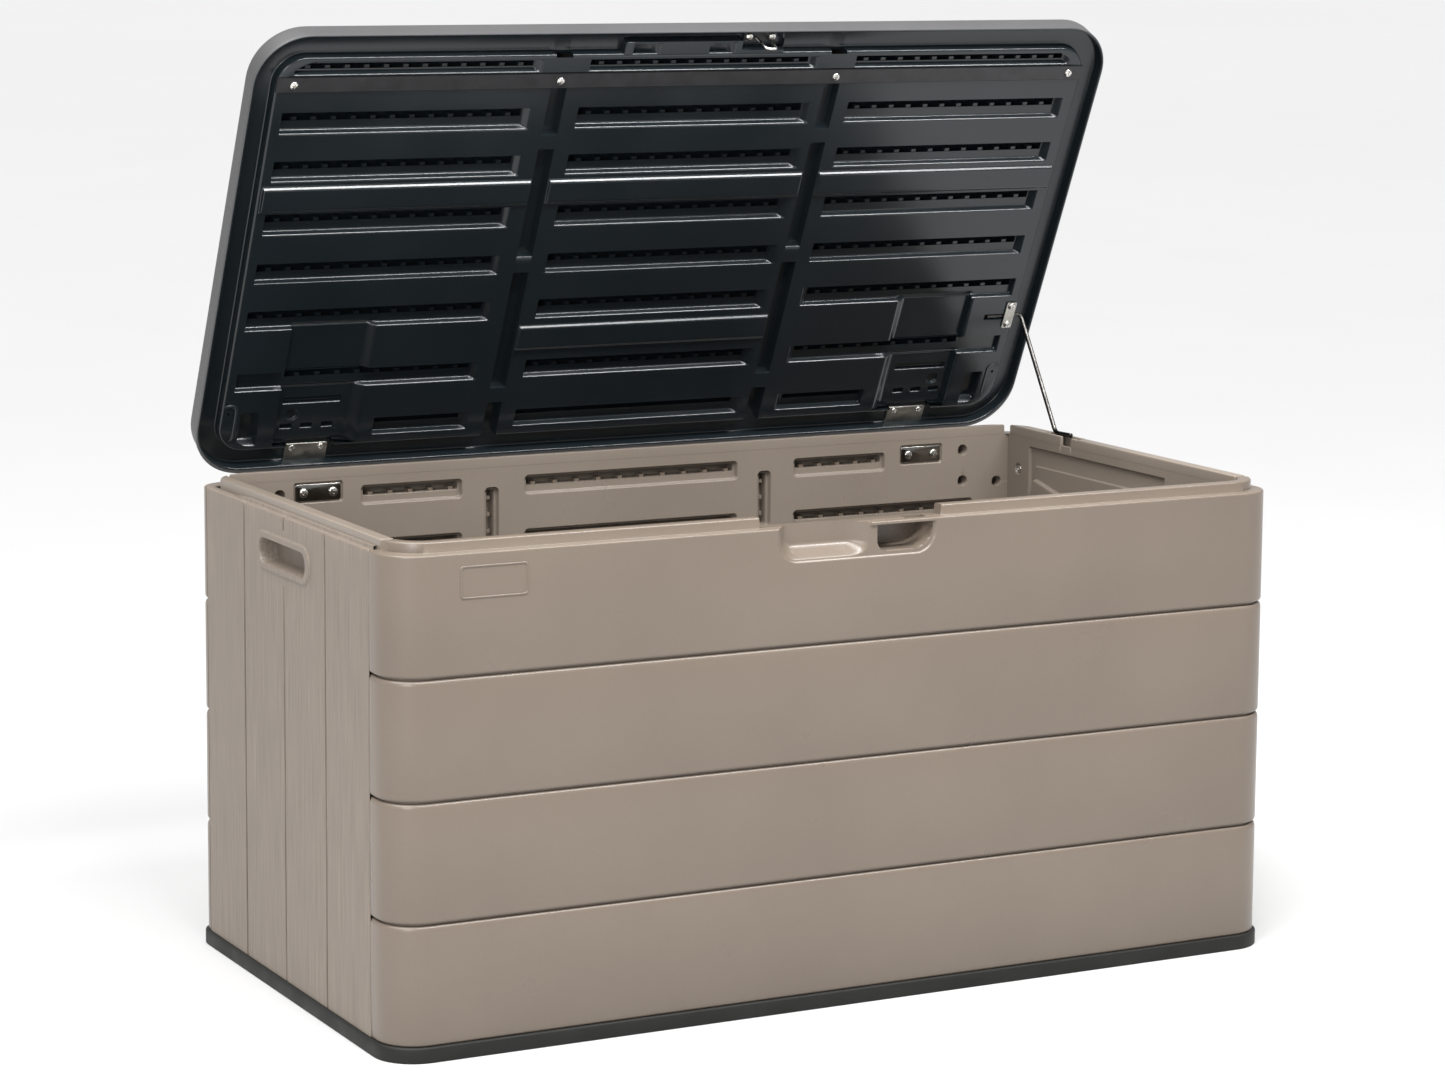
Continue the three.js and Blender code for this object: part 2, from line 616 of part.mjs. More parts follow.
// ---------------------------------------------------------------- assembly
const group = new THREE.Group();
const lid = new THREE.Group();
const lidFrame = new THREE.Group();
lid.position.set(0, HINGE_Y, HINGE_Z);
lid.rotation.x = THREE.MathUtils.degToRad(-LID_OPEN);
lidFrame.position.set(0, -HINGE_Y, -HINGE_Z);
lid.add(lidFrame);
group.add(lid);

place(group, "base_tray", baseTray(), BLACK_BASE);
place(group, "front_panel", frontPanel(), TAUPE);
place(group, "back_panel", backPanel(), TAUPE);
place(group, "left_side_panel", sidePanel(-1), TAUPE);
place(group, "right_side_panel", sidePanel(1), TAUPE);
for (const [label, side] of [["left", -1], ["right", 1]]) {
  CORNER_SCREWS.forEach(({ y, z }, i) => {
    const head = side * (INNER_X + 0.5);
    const name = `${label}_corner_screw_${i + 1}`;
    place(group, name, screw("x", [0, y, z], head, side * (MID_X + 4)), CHROME);
  });
}

place(lidFrame, "lid_panel", lidPanel(), LID_BLACK);
place(lidFrame, "lid_stiffener_bar", stiffenerBar(), BAR_BLACK);
BAR.screws.forEach((x, i) => {
  const at = [x, (BAR.y0 + BAR.y1) / 2, 0];
  place(lidFrame, `bar_screw_${i + 1}`, screw("z", at, BAR.z0 - GAP - SCREW.thick, 608), CHROME);
});
place(lidFrame, "hasp_plate", haspPlate(), BAR_BLACK);
place(lidFrame, "hasp_loop", haspLoop(), CHROME);
[-1, 1].forEach((side, i) => {
  const at = [HASP_X + side * HASP.screw, HASP_Y, 0];
  const head = LID_TROUGH - 2 * GAP - HASP.thick - SCREW.thick;
  place(lidFrame, `hasp_screw_${i + 1}`, screw("z", at, head, 612), CHROME);
});
place(lidFrame, "stay_bracket", stayBracket(), ZINC);
BRACKET.screws.forEach((y, i) => {
  const at = [(BRACKET.x0 + BRACKET.x1) / 2, y, 0];
  const head = LID_PANEL - 2 * GAP - BRACKET.thick - SCREW.thick;
  place(lidFrame, `bracket_screw_${i + 1}`, screw("z", at, head, 606), CHROME);
});
place(group, "stay_rod", stayRod(), CHROME);

for (const [label, side] of [["left", -1], ["right", 1]]) {
  const x = side * HINGE_X;
  place(group, `${label}_hinge_body_leaf`, bodyLeaf(x), ZINC);
  place(lidFrame, `${label}_hinge_lid_leaf`, lidLeaf(x), ZINC);
  place(group, `${label}_hinge_pin`,
    rod("x", [0, HINGE_Y, HINGE_Z], x - LEAF_HALF - 3, x + LEAF_HALF + 3, PIN, 12), ZINC);
  place(group, `${label}_hinge_backing_plate`, backingPlate(x), CHROME);
  [-LEAF_SCREW, LEAF_SCREW].forEach((offset, i) => {
    const plateFace = INNER_Y + BACKING.recess - GAP - BACKING.thick;
    place(group, `${label}_hinge_bolt_${i + 1}`,
      screw("y", [x + offset, 0, 570], plateFace - GAP - SCREW.thick, HALF_D + 4.5), CHROME);
    place(lidFrame, `${label}_leaf_screw_${i + 1}`,
      screw("z", [x + offset, LID_LEAF.screwY, 0], LID_LEAF.z0 - GAP - SCREW.thick, 612), CHROME);
  });
}

export default group;
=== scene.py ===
import math

import bmesh
import bpy
import numpy as np
from mathutils import Matrix, Vector


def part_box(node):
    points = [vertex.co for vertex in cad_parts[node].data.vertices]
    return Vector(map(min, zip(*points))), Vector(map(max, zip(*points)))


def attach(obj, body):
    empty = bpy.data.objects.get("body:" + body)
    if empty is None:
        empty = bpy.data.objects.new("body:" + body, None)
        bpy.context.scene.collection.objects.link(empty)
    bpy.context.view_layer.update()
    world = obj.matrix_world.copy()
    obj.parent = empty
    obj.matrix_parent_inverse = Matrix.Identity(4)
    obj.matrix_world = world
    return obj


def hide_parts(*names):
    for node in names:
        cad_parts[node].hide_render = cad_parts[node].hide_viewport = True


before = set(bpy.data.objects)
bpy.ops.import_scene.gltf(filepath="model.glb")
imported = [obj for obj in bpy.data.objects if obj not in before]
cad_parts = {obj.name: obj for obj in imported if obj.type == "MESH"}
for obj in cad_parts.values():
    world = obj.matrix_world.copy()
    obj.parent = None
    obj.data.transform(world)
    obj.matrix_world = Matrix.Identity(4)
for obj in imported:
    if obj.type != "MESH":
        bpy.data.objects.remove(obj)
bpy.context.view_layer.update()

MM = 0.001

# ---------------- sizes, in mm, read from the frame
front_low, front_high = (np.array(corner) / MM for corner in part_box("front_panel"))
HALF_W = front_high[0]
HALF_D = -front_low[1]
RIM = front_high[2]
BASE = front_low[2]             # underside of the planks
FRONT_SEAM = front_high[1]
REAR_SEAM = HALF_D - 37
SHOULDER = RIM - 13
WALL = 28
INNER_X = HALF_W - WALL
INNER_Y = HALF_D - WALL
LIP_SETBACK = 11
LIP_X = HALF_W - LIP_SETBACK
LIP_END = -HALF_D + 47
LIP_RADIUS = 50
REAR_LIP = 9.5
FRONT_RADIUS = 48
REAR_RADIUS = 36
PLANKS = 4

HINGE_X = 445
HINGE_Y = HALF_D + 13
HINGE_Z = SHOULDER - 25
LID_OPEN = math.radians(65)
LID_PANEL = 592                 # underside of the closed lid's inner panel
LID_TROUGH = 605
LID_TOP = 620.5
LID_HALF = HALF_W - 1.5
LID_FRONT = -HALF_D
LID_REAR = HALF_D - 11
LID_RADIUS = 68
SKIRT = 4


# ---------------- mesh tools
def smooth(t):
    """0 to 1 with rounded ends."""
    t = np.clip(t, 0, 1)
    return t * t * (3 - 2 * t)


def ramp(t):
    return np.clip(t, 0, 1)


def inside_rect(u, v, u0, u1, v0, v1, radius):
    """Distance inside a rounded rectangle, negative outside it."""
    du = np.abs(u - (u0 + u1) / 2) - (u1 - u0) / 2 + radius
    dv = np.abs(v - (v0 + v1) / 2) - (v1 - v0) / 2 + radius
    outside = np.hypot(np.maximum(du, 0), np.maximum(dv, 0))
    return radius - outside - np.minimum(np.maximum(du, dv), 0)


class Shape:
    """Collects grids of points into one mesh."""

    def __init__(self):
        self.points = []
        self.faces = []
        self.finishes = []
        self.count = 0

    def add(self, points, faces, finish=0):
        points = np.asarray(points, float).reshape(-1, 3)
        self.points.append(points)
        self.faces += [[self.count + i for i in face] for face in faces]
        self.finishes += [finish] * len(faces)
        self.count += len(points)

    def grid(self, points, closed=False, flip=False, finish=0, keep=None):
        """A sheet of quads over rows and columns of points; closed joins the last column to the first."""
        rows, columns = points.shape[:2]
        index = np.arange(rows * columns).reshape(rows, columns)
        if closed:
            index = np.hstack([index, index[:, :1]])
        quads = np.stack([index[:-1, :-1], index[:-1, 1:], index[1:, 1:], index[1:, :-1]], -1).reshape(-1, 4)
        if flip:
            quads = quads[:, ::-1]
        if keep is not None:
            quads = quads[keep.reshape(-1)]
        self.add(points, quads.tolist(), finish)

    def cap(self, loop, flip=False, finish=0):
        order = list(range(len(loop)))
        self.add(loop, [order[::-1] if flip else order], finish)

    def block(self, low, high, inset=0.6, move=None, finish=0):
        """A small box whose sides lean in by `inset` towards the end given last in z."""
        x0, y0, z0 = low
        x1, y1, z1 = high
        i = inset
        points = [(x0, y0, z0), (x1, y0, z0), (x1, y1, z0), (x0, y1, z0),
                  (x0 + i, y0 + i, z1), (x1 - i, y0 + i, z1), (x1 - i, y1 - i, z1), (x0 + i, y1 - i, z1)]
        points = np.array(points, float)
        faces = [[0, 1, 5, 4], [1, 2, 6, 5], [2, 3, 7, 6], [3, 0, 4, 7], [4, 5, 6, 7]]
        if z1 < z0:
            faces = [face[::-1] for face in faces]
        self.add(points if move is None else move(points), faces, finish)


NEAR = 0.04                     # metres; only faces this close to an opening's middle are cut


def cut_opening(work, low, high):
    """Opens the sheet inside a box square to the axes. It is cut along the box's x and y sides only."""
    middle = (low + high) / 2

    def near():
        faces = [f for f in work.faces
                 if all(abs(f.calc_center_median()[i] - middle[i]) < NEAR for i in (0, 1))]
        edges = dict.fromkeys(e for f in faces for e in f.edges)
        verts = dict.fromkeys(v for f in faces for v in f.verts)
        return faces + list(edges) + list(verts)
    for axis in (0, 1):
        normal = Vector((0, 0, 0))
        normal[axis] = 1
        for value in (low[axis], high[axis]):
            bmesh.ops.bisect_plane(work, geom=near(), plane_co=normal * float(value), plane_no=normal)
    gone = [f for f in work.faces if all(low[i] < f.calc_center_median()[i] < high[i] for i in range(3))]
    bmesh.ops.delete(work, geom=gone, context="FACES")


def linked(name, data):
    made = bpy.data.objects.new(name, data)
    bpy.context.scene.collection.objects.link(made)
    return made


def piece(name, shape, materials, body, nodes=(), crease=50, opening=None):
    """Makes the mesh in metres, rides it on its body and lets it stand for the CAD nodes."""
    mesh = bpy.data.meshes.new(name)
    mesh.from_pydata((np.vstack(shape.points) * MM).tolist(), [], shape.faces)
    mesh.polygons.foreach_set("material_index", shape.finishes)
    for finish in materials:
        mesh.materials.append(finish)
    work = bmesh.new()
    work.from_mesh(mesh)
    bmesh.ops.remove_doubles(work, verts=work.verts, dist=2e-6)
    bmesh.ops.dissolve_degenerate(work, edges=work.edges, dist=1e-6)
    if opening:
        cut_opening(work, *(np.array(corner) * MM for corner in opening))
    work.to_mesh(mesh)
    work.free()
    mesh.polygons.foreach_set("use_smooth", [True] * len(mesh.polygons))
    mesh.set_sharp_from_angle(angle=math.radians(crease))
    made = linked(name, mesh)
    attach(made, body)
    if nodes:
        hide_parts(*nodes)
    return made


EDGE = (-0.4, 0, 0.15, 0.35, 0.65, 0.85, 1, 1.4)   # grid lines across a wall, in wall widths


class Field:
    """A relief over a plane (u, v). Each feature changes the height and adds the grid lines that it needs."""

    def __init__(self, u0, u1, v0, v1, step):
        self.range = (u0, u1, v0, v1)
        self.us = list(np.linspace(u0, u1, max(2, int((u1 - u0) / step))))
        self.vs = list(np.linspace(v0, v1, max(2, int((v1 - v0) / step))))
        self.features = []
        self.holes = []

    def wall(self, lines, at, width):
        lines += [at + width * t for t in EDGE]

    def lines(self, lines, low, high, gap=0.3):
        kept = [low]
        for value in sorted(lines):
            if low < value < high and value - kept[-1] > gap:
                kept.append(value)
        if high - kept[-1] <= gap:
            kept.pop()
        return np.array(kept + [high])

    def pocket(self, u0, u1, v0, v1, depth, walls=(1.6, 1.6, 1.6, 1.6)):
        """Sunk by depth (raised if negative); walls are the widths at low u, high u, low v and high v."""
        a, b, c, d = walls
        for at, width in ((u0, a), (u1, -b)):
            self.wall(self.us, at, width)
        for at, width in ((v0, c), (v1, -d)):
            self.wall(self.vs, at, width)

        def shape(u, v, h):
            share = np.minimum(np.minimum(smooth((u - u0) / a), smooth((u1 - u) / b)),
                               np.minimum(smooth((v - v0) / c), smooth((v1 - v) / d)))
            return h + depth * share
        self.features.append(shape)

    def rounded(self, u0, u1, v0, v1, depth, radius, width=1.6):
        """The same with round corners and one wall width all round."""
        for low, high, lines in ((u0, u1, self.us), (v0, v1, self.vs)):
            self.wall(lines, low, width)
            self.wall(lines, high, -width)
            steps = max(3, int(radius / 1.3))
            lines += [low + radius * i / steps for i in range(steps)]
            lines += [high - radius * i / steps for i in range(steps)]

        def shape(u, v, h):
            return h + depth * smooth(inside_rect(u, v, u0, u1, v0, v1, radius) / width)
        self.features.append(shape)

    def hole(self, u0, u1, v0, v1):
        """Leaves the sheet open over a rectangle."""
        self.us += [u0, u1]
        self.vs += [v0, v1]
        self.holes.append((u0, u1, v0, v1))

    def sheet(self, u, v):
        """Which quads are left once the holes are out."""
        u = (u[:-1, :-1] + u[1:, 1:]) / 2
        v = (v[:-1, :-1] + v[1:, 1:]) / 2
        keep = np.ones(u.shape, bool)
        for u0, u1, v0, v1 in self.holes:
            keep &= ~((u > u0) & (u < u1) & (v > v0) & (v < v1))
        return u, v, keep

    def heights(self):
        u0, u1, v0, v1 = self.range
        us = self.lines(self.us, u0, u1)
        vs = self.lines(self.vs, v0, v1)
        u, v = np.meshgrid(us, vs)
        h = np.zeros_like(u)
        for feature in self.features:
            h = feature(u, v, h)
        return u, v, h


def stacked(*axes):
    return np.stack(np.broadcast_arrays(*axes), -1).astype(float)


# ---------------- materials
def srgb(*values):
    return [((v / 255 + 0.055) / 1.055) ** 2.4 if v > 10 else v / 255 / 12.92 for v in values] + [1]


class Finish:
    """A node material with object coordinates, built up a layer at a time."""

    def __init__(self, name, metallic=0.0):
        self.material = bpy.data.materials.new(name)
        self.material.use_nodes = True
        self.nodes = self.material.node_tree.nodes
        self.links = self.material.node_tree.links
        self.shader = self.nodes["Principled BSDF"]
        self.shader.inputs["Metallic"].default_value = metallic
        self.place = self.nodes.new("ShaderNodeTexCoord").outputs["Object"]

    def noise(self, scale, stretch=(1, 1, 1), detail=3.0, roughness=0.55):
        mapping = self.nodes.new("ShaderNodeMapping")
        mapping.inputs["Scale"].default_value = stretch
        self.links.new(self.place, mapping.inputs["Vector"])
        texture = self.nodes.new("ShaderNodeTexNoise")
        texture.inputs["Scale"].default_value = scale
        texture.inputs["Detail"].default_value = detail
        texture.inputs["Roughness"].default_value = roughness
        self.links.new(mapping.outputs["Vector"], texture.inputs["Vector"])
        return texture.outputs["Fac"]

    def ramp(self, value, stops):
        node = self.nodes.new("ShaderNodeValToRGB")
        first, last = node.color_ramp.elements
        (first.position, first.color), (last.position, last.color) = stops
        self.links.new(value, node.inputs["Fac"])
        return node.outputs["Color"]

    def mix(self, first, second, share):
        node = self.nodes.new("ShaderNodeMix")
        node.data_type = "RGBA"
        node.blend_type = "MULTIPLY"
        node.inputs[0].default_value = share
        self.links.new(first, node.inputs[6])
        self.links.new(second, node.inputs[7])
        return node.outputs[2]

    def colour(self, value, dark, light, low=0.3, high=0.7):
        colour = self.ramp(value, ((low, dark), (high, light)))
        self.links.new(colour, self.shader.inputs["Base Color"])
        return colour

    def tint(self, colour, value, share, low=0.3, high=0.7):
        """Multiplies the colour by a second, finer noise."""
        grey = self.ramp(value, ((low, (0.8, 0.8, 0.8, 1)), (high, (1, 1, 1, 1))))
        self.links.new(self.mix(colour, grey, share), self.shader.inputs["Base Color"])

    def gloss(self, value, low, high):
        node = self.nodes.new("ShaderNodeMapRange")
        node.inputs["From Min"].default_value = 0.3
        node.inputs["From Max"].default_value = 0.7
        node.inputs["To Min"].default_value = low
        node.inputs["To Max"].default_value = high
        self.links.new(value, node.inputs["Value"])
        self.links.new(node.outputs["Result"], self.shader.inputs["Roughness"])

    def bump(self, value, distance, strength=1.0, after=None):
        node = self.nodes.new("ShaderNodeBump")
        node.inputs["Strength"].default_value = strength
        node.inputs["Distance"].default_value = distance
        self.links.new(value, node.inputs["Height"])
        if after is not None:
            self.links.new(after, node.inputs["Normal"])
        self.links.new(node.outputs["Normal"], self.shader.inputs["Normal"])
        return node.outputs["Normal"]


def taupe_smooth(name, dark, light):
    """Satin moulded polyethylene."""
    f = Finish(name)
    colour = f.colour(f.noise(4), dark, light)
    f.tint(colour, f.noise(420, detail=2), 0.22)
    f.gloss(f.noise(9), 0.27, 0.34)
    fine = f.bump(f.noise(900, detail=2), 0.00012, 0.5)
    f.bump(f.noise(7, detail=1), 0.0012, 0.5, after=fine)
    return f.material


def taupe_grained():
    """The same plastic with the upright wood grain of the side panels."""
    f = Finish("taupe_grained")
    grain = f.noise(1, stretch=(420, 420, 9), detail=4, roughness=0.7)
    colour = f.colour(grain, srgb(98, 88, 79), srgb(132, 121, 110))
    f.tint(colour, f.noise(5), 0.3)
    f.gloss(grain, 0.42, 0.56)
    f.bump(grain, 0.0006, 0.85)
    return f.material


def base_black():
    f = Finish("base_black")
    f.shader.inputs["Specular IOR Level"].default_value = 0.3
    colour = f.colour(f.noise(14), srgb(20, 20, 18), srgb(27, 27, 25))
    f.tint(colour, f.noise(500), 0.25)
    f.gloss(f.noise(20), 0.5, 0.65)
    f.bump(f.noise(800), 0.00015, 0.6)
    return f.material


def lid_gloss():
    """Glossy inner skin of the lid."""
    f = Finish("lid_gloss")
    colour = f.colour(f.noise(3), srgb(20, 26, 29), srgb(26, 32, 36))
    f.tint(colour, f.noise(300), 0.15)
    f.gloss(f.noise(6), 0.17, 0.26)
    fine = f.bump(f.noise(700, detail=2), 0.00006, 0.35)
    f.bump(f.noise(11, detail=1), 0.0010, 0.35, after=fine)
    return f.material


def lid_pebbled():
    """Pebbled outer skin of the lid."""
    f = Finish("lid_pebbled")
    pebble = f.noise(420, detail=2, roughness=0.5)
    f.tint(f.colour(f.noise(5), srgb(71, 71, 72), srgb(77, 77, 78)), pebble, 0.45)
    f.gloss(pebble, 0.42, 0.6)
    f.bump(pebble, 0.0006, 0.8)
    return f.material


def metal(name, dark, light, low, high, grain=60.0, metallic=1.0, stretch=(1, 1, 1)):
    f = Finish(name, metallic)
    streaks = f.noise(grain, stretch=stretch, detail=3)
    f.colour(streaks, dark, light)
    f.gloss(f.noise(grain * 3), low, high)
    f.bump(streaks, 0.00008, 0.4)
    return f.material


SMOOTH = taupe_smooth("taupe_smooth", srgb(104, 93, 83), srgb(110, 99, 88))
# A lighter copy of the same satin plastic for the panels' inside faces and lip tops: painted light, standing
# in for the light from above that falls into the open box.
INNER_PAINTED_LIGHT = taupe_smooth("taupe_inner_painted_light", srgb(120, 110, 100), srgb(127, 117, 107))
GRAINED = taupe_grained()
BASE_BLACK = base_black()
GLOSS = lid_gloss()
PEBBLE = lid_pebbled()
BAR_BLACK = metal("bar_black", srgb(32, 32, 34), srgb(42, 42, 44), 0.3, 0.42, metallic=0.3)
CHROME = metal("chrome", srgb(196, 194, 190), srgb(222, 220, 216), 0.12, 0.24)
DARK_CHROME = metal("dark_chrome", srgb(112, 110, 108), srgb(170, 168, 164), 0.1, 0.22, grain=24)
ROD_STEEL = metal("rod_steel", srgb(54, 53, 52), srgb(84, 82, 80), 0.24, 0.36, stretch=(1, 1, 0.1))
ZINC = metal("zinc", srgb(150, 148, 142), srgb(186, 183, 176), 0.28, 0.42)


# ---------------- wall panels
def groove_rows(z):
    """Rows (inset, z) across the groove between two planks."""
    low = ((0, -8), (0.35, -5.4), (1.1, -3.5), (2.3, -2.2), (3.6, -1.6), (6, -1.3))
    high = ((6, 1), (2.4, 1.2), (1.2, 1.9), (0.4, 3.2), (0, 5))
    return [(inset, z + rise) for inset, rise in low + high]


def plank_rows():
    rows = [(14, BASE), (1.6, BASE), (0.5, BASE + 0.6), (0, BASE + 2.2)]
    pitch = (SHOULDER - BASE) / PLANKS
    for i in range(1, PLANKS):
        rows += groove_rows(BASE + i * pitch)
    return rows


RECESS_X = (-112, 105)          # the finger recess and the padlock pocket together
POCKET_ROOF = 584
HASP_SLOT = (65.5, 94.5, -306, -294)    # x and y of the opening in the pocket's roof for the hasp loop
LIP_GAP = (-131, 117)           # the front lip is left out above the recess
NAME_PLATE = (-519, -436, 536, 572)


def front_depth(x, z):
    """How far the finger recess and the padlock pocket sink into the front face."""
    edge = inside_rect(x, z, *RECESS_X, 545, 700, 28)
    share = 1 - smooth((x + 16) / 36)
    scoop = 20 * smooth((edge + 1) / 22) * share
    flush = 2.2 * smooth(edge / 2.4) * (z < POCKET_ROOF - 0.4)
    corner = np.where(x > 62, 27, 13)
    hole = np.minimum(inside_rect(x, z, 24, 101, 551.5, 640, corner), POCKET_ROOF - z)
    lock = 40 * smooth(hole / 3)
    return np.maximum(np.maximum(scoop, flush), lock)


def lip_rows(inset_out, inset_in, low):
    """Rows over a lip, from its foot on the shoulder to its foot on the inside."""
    return [(inset_out, low), (inset_out + 0.15, RIM - 2.2), (inset_out + 0.7, RIM - 0.8),
            (inset_out + 1.9, RIM), (inset_in - 2.6, RIM), (inset_in - 0.9, RIM - 0.8),
            (inset_in, RIM - 2.6), (inset_in, SHOULDER - 2)]


def front_stations():
    """Stations round the front panel: ("wrap", share), ("arc", degrees) and ("face", x)."""
    stop = math.degrees(math.asin((HALF_D - LIP_SETBACK - LIP_RADIUS + LIP_END) / -LIP_RADIUS))
    arc = [0, stop / 2, stop - 0.3, stop + 0.3] + list(np.linspace(stop + 5, 90, 14))
    corner = FRONT_RADIUS
    side = [("wrap", t) for t in (1, 0.93, 0.85, 0.5, 0)] + [("arc", a) for a in arc[1:]]
    xs = list(np.arange(RECESS_X[0] - 6, RECESS_X[1] + 8, 1.1)) + [LIP_GAP[0] - 0.4, LIP_GAP[0] + 0.4]
    xs += [LIP_GAP[1] - 0.4, LIP_GAP[1] + 0.4, -400, -250, 250, 400]
    xs = [x for x in sorted(xs) if abs(x) < HALF_W - corner]
    left = [(kind, value, -1) for kind, value in side]
    right = [(kind, value, 1) for kind, value in side[::-1]]
    return left + [("face", x, 1) for x in xs] + right, stop


def front_point(station, inset, radius):
    kind, value, side = station
    cx = HALF_W - inset - radius
    cy = -HALF_D + inset + radius
    if kind == "wrap":
        return side * (HALF_W - inset), cy + (FRONT_SEAM - cy) * value
    if kind == "arc":
        a = math.radians(value)
        return side * (cx + radius * math.cos(a)), cy - radius * math.sin(a)
    limit = 300
    if abs(value) <= limit:
        return value, -HALF_D + inset
    share = (abs(value) - limit) / (HALF_W - FRONT_RADIUS - limit)
    return math.copysign(limit + share * (cx - limit), value), -HALF_D + inset


def front_panel():
    stations, stop = front_stations()
    rows = [(inset, z, FRONT_RADIUS - inset) for inset, z in plank_rows()]
    rows += [(0, z, FRONT_RADIUS) for z in np.arange(541, SHOULDER - 2.6, 1.1)]
    rows += [(0, SHOULDER - 2.4, FRONT_RADIUS), (0.4, SHOULDER - 1.1, FRONT_RADIUS - 0.4),
             (1.2, SHOULDER - 0.3, FRONT_RADIUS - 1), (2.4, SHOULDER, FRONT_RADIUS - 2),
             (LIP_SETBACK - 0.8, SHOULDER, LIP_RADIUS)]
    for inset, z in lip_rows(LIP_SETBACK, WALL, SHOULDER + 0.8):
        rows.append((inset, z, LIP_RADIUS - inset + LIP_SETBACK))
    points = np.zeros((len(rows), len(stations), 3))
    for j, station in enumerate(stations):
        kind, value, side = station
        lip = kind == "face" and not LIP_GAP[0] < value < LIP_GAP[1] or kind == "arc" and value > stop
        seam = kind == "wrap" and value > 0.9
        for i, (inset, z, radius) in enumerate(rows):
            height = z if lip or z <= SHOULDER else min(z, SHOULDER + 0.7)
            depth = inset
            if kind == "face" and LIP_GAP[0] < value < LIP_GAP[1]:
                depth = max(inset, float(front_depth(value, min(height, SHOULDER - 3))))
                depth = min(depth, WALL) if z > POCKET_ROOF + 0.5 else depth
            if seam and inset < 2:
                depth += 2 * (value - 0.9) / 0.1
            x, y = front_point(station, inset, radius)
            points[i, j] = (x, y + depth - inset if kind == "face" else y, height)
            if kind == "wrap" and depth > inset:
                points[i, j, 0] -= side * (depth - inset)
    shape = Shape()
    shape.grid(points)
    inner = Field(-HALF_W + 14, HALF_W - 14, BASE, SHOULDER - 1.9, 80)
    inner.rounded(8, 117, 530, 640, -18, 8, 2.5)
    u, v, h = inner.heights()
    shape.grid(stacked(u, -INNER_Y - h, v), flip=True, finish=1)
    plate_outline(shape)
    x0, x1, y0, y1 = HASP_SLOT
    loop = [(x0, y0), (x0, y1), (x1, y1), (x1, y0)]
    sides = [[(x, y, z) for x, y in loop] for z in (SHOULDER + 0.6, POCKET_ROOF - 1.2)]
    shape.grid(np.array(sides, float), closed=True)
    piece("front_panel_finish", shape, [SMOOTH, INNER_PAINTED_LIGHT], "box", ["front_panel"],
          opening=((x0, y0, POCKET_ROOF - 8), (x1, y1, RIM)))


def rounded_loop(u0, u1, v0, v1, radius, steps=6):
    points = []
    for cu, cv, start in ((u0, v0, 180), (u1, v0, 270), (u1, v1, 0), (u0, v1, 90)):
        cu += radius if cu == u0 else -radius
        cv += radius if cv == v0 else -radius
        for i in range(steps + 1):
            a = math.radians(start + 90 * i / steps)
            points.append((cu + radius * math.cos(a), cv + radius * math.sin(a)))
    return np.array(points)


def plate_outline(shape):
    """The low raised outline of a blank name plate."""
    u0, u1, v0, v1 = NAME_PLATE
    rings = []
    for inset, proud in ((-1.3, -0.2), (-0.9, 0.8), (0, 1.1), (0.9, 0.8), (1.3, -0.2)):
        loop = rounded_loop(u0 + inset, u1 - inset, v0 + inset, v1 - inset, 4 - inset / 2)
        rings.append(stacked(loop[:, 0], -HALF_D - proud, loop[:, 1]))
    shape.grid(np.array(rings), closed=True, flip=True)


def comb_slot(field, shape, u0, u1, v0, v1, place, tabs=True):
    """A long pocket in the lid: a comb of tabs across a dark undercut opening, then a ledge and a slope."""
    deep = 14 if v1 - v0 > 26 else 11
    depth, left_wall, right_wall = 7, 1.8, 11
    field.pocket(u0, u1, v0, v1, depth, (left_wall, right_wall, 1.6, 4))
    comb_opening(field, shape, u0 + left_wall + 0.6, u1 - right_wall, v0 + 1.9, v0 + deep, depth, place, tabs)


def comb_opening(field, shape, u0, u1, v0, v1, depth, place, tabs=True):
    """The undercut opening itself: a hole in the sheet, a closed tray behind it and the tabs across it."""
    field.hole(u0, u1, v0, v1)
    rings = []
    for spread, under, drop in ((0.5, 0, 0), (0.5, 0, 1.6), (4, 10, 1.7), (4, 10, 12)):
        low, high, level = v0 - 0.5, v1 + 0.5 + under, depth + drop
        rings.append(place(np.array([(u0 - spread, low, level), (u0 - spread, high, level),
                                     (u1 + spread, high, level), (u1 + spread, low, level)], float)))
    shape.grid(np.array(rings), closed=True)
    shape.cap(rings[-1])
    count = max(2, round((u1 - u0) / 27)) if tabs else 0
    for i in range(count):
        u = u0 + (u1 - u0 - 8) * (i + 0.5) / count
        shape.block((u, v1 - 5, depth + 7), (u + 8, v1 + 0.6, depth + 0.6), 0.6, place)


def wall_slot(field, shape, u0, u1, top, place):
    """A stiffening slot in the back wall: a round-cornered tray, with a comb of tabs in its upper half."""
    low = top - 26
    field.rounded(u0, u1, low, top, 6, 6, 2.8)
    field.rounded(u0 + 5, u1 - 5, top - 15, top - 4, 16, 2.5, 1.4)
    count = round((u1 - u0) / 30)
    for i in range(count):
        u = u0 + 12 + (u1 - u0 - 30) * i / (count - 1)
        shape.block((u, top - 15.5, 18), (u + 8, top - 9.5, 8), 0.8, place)


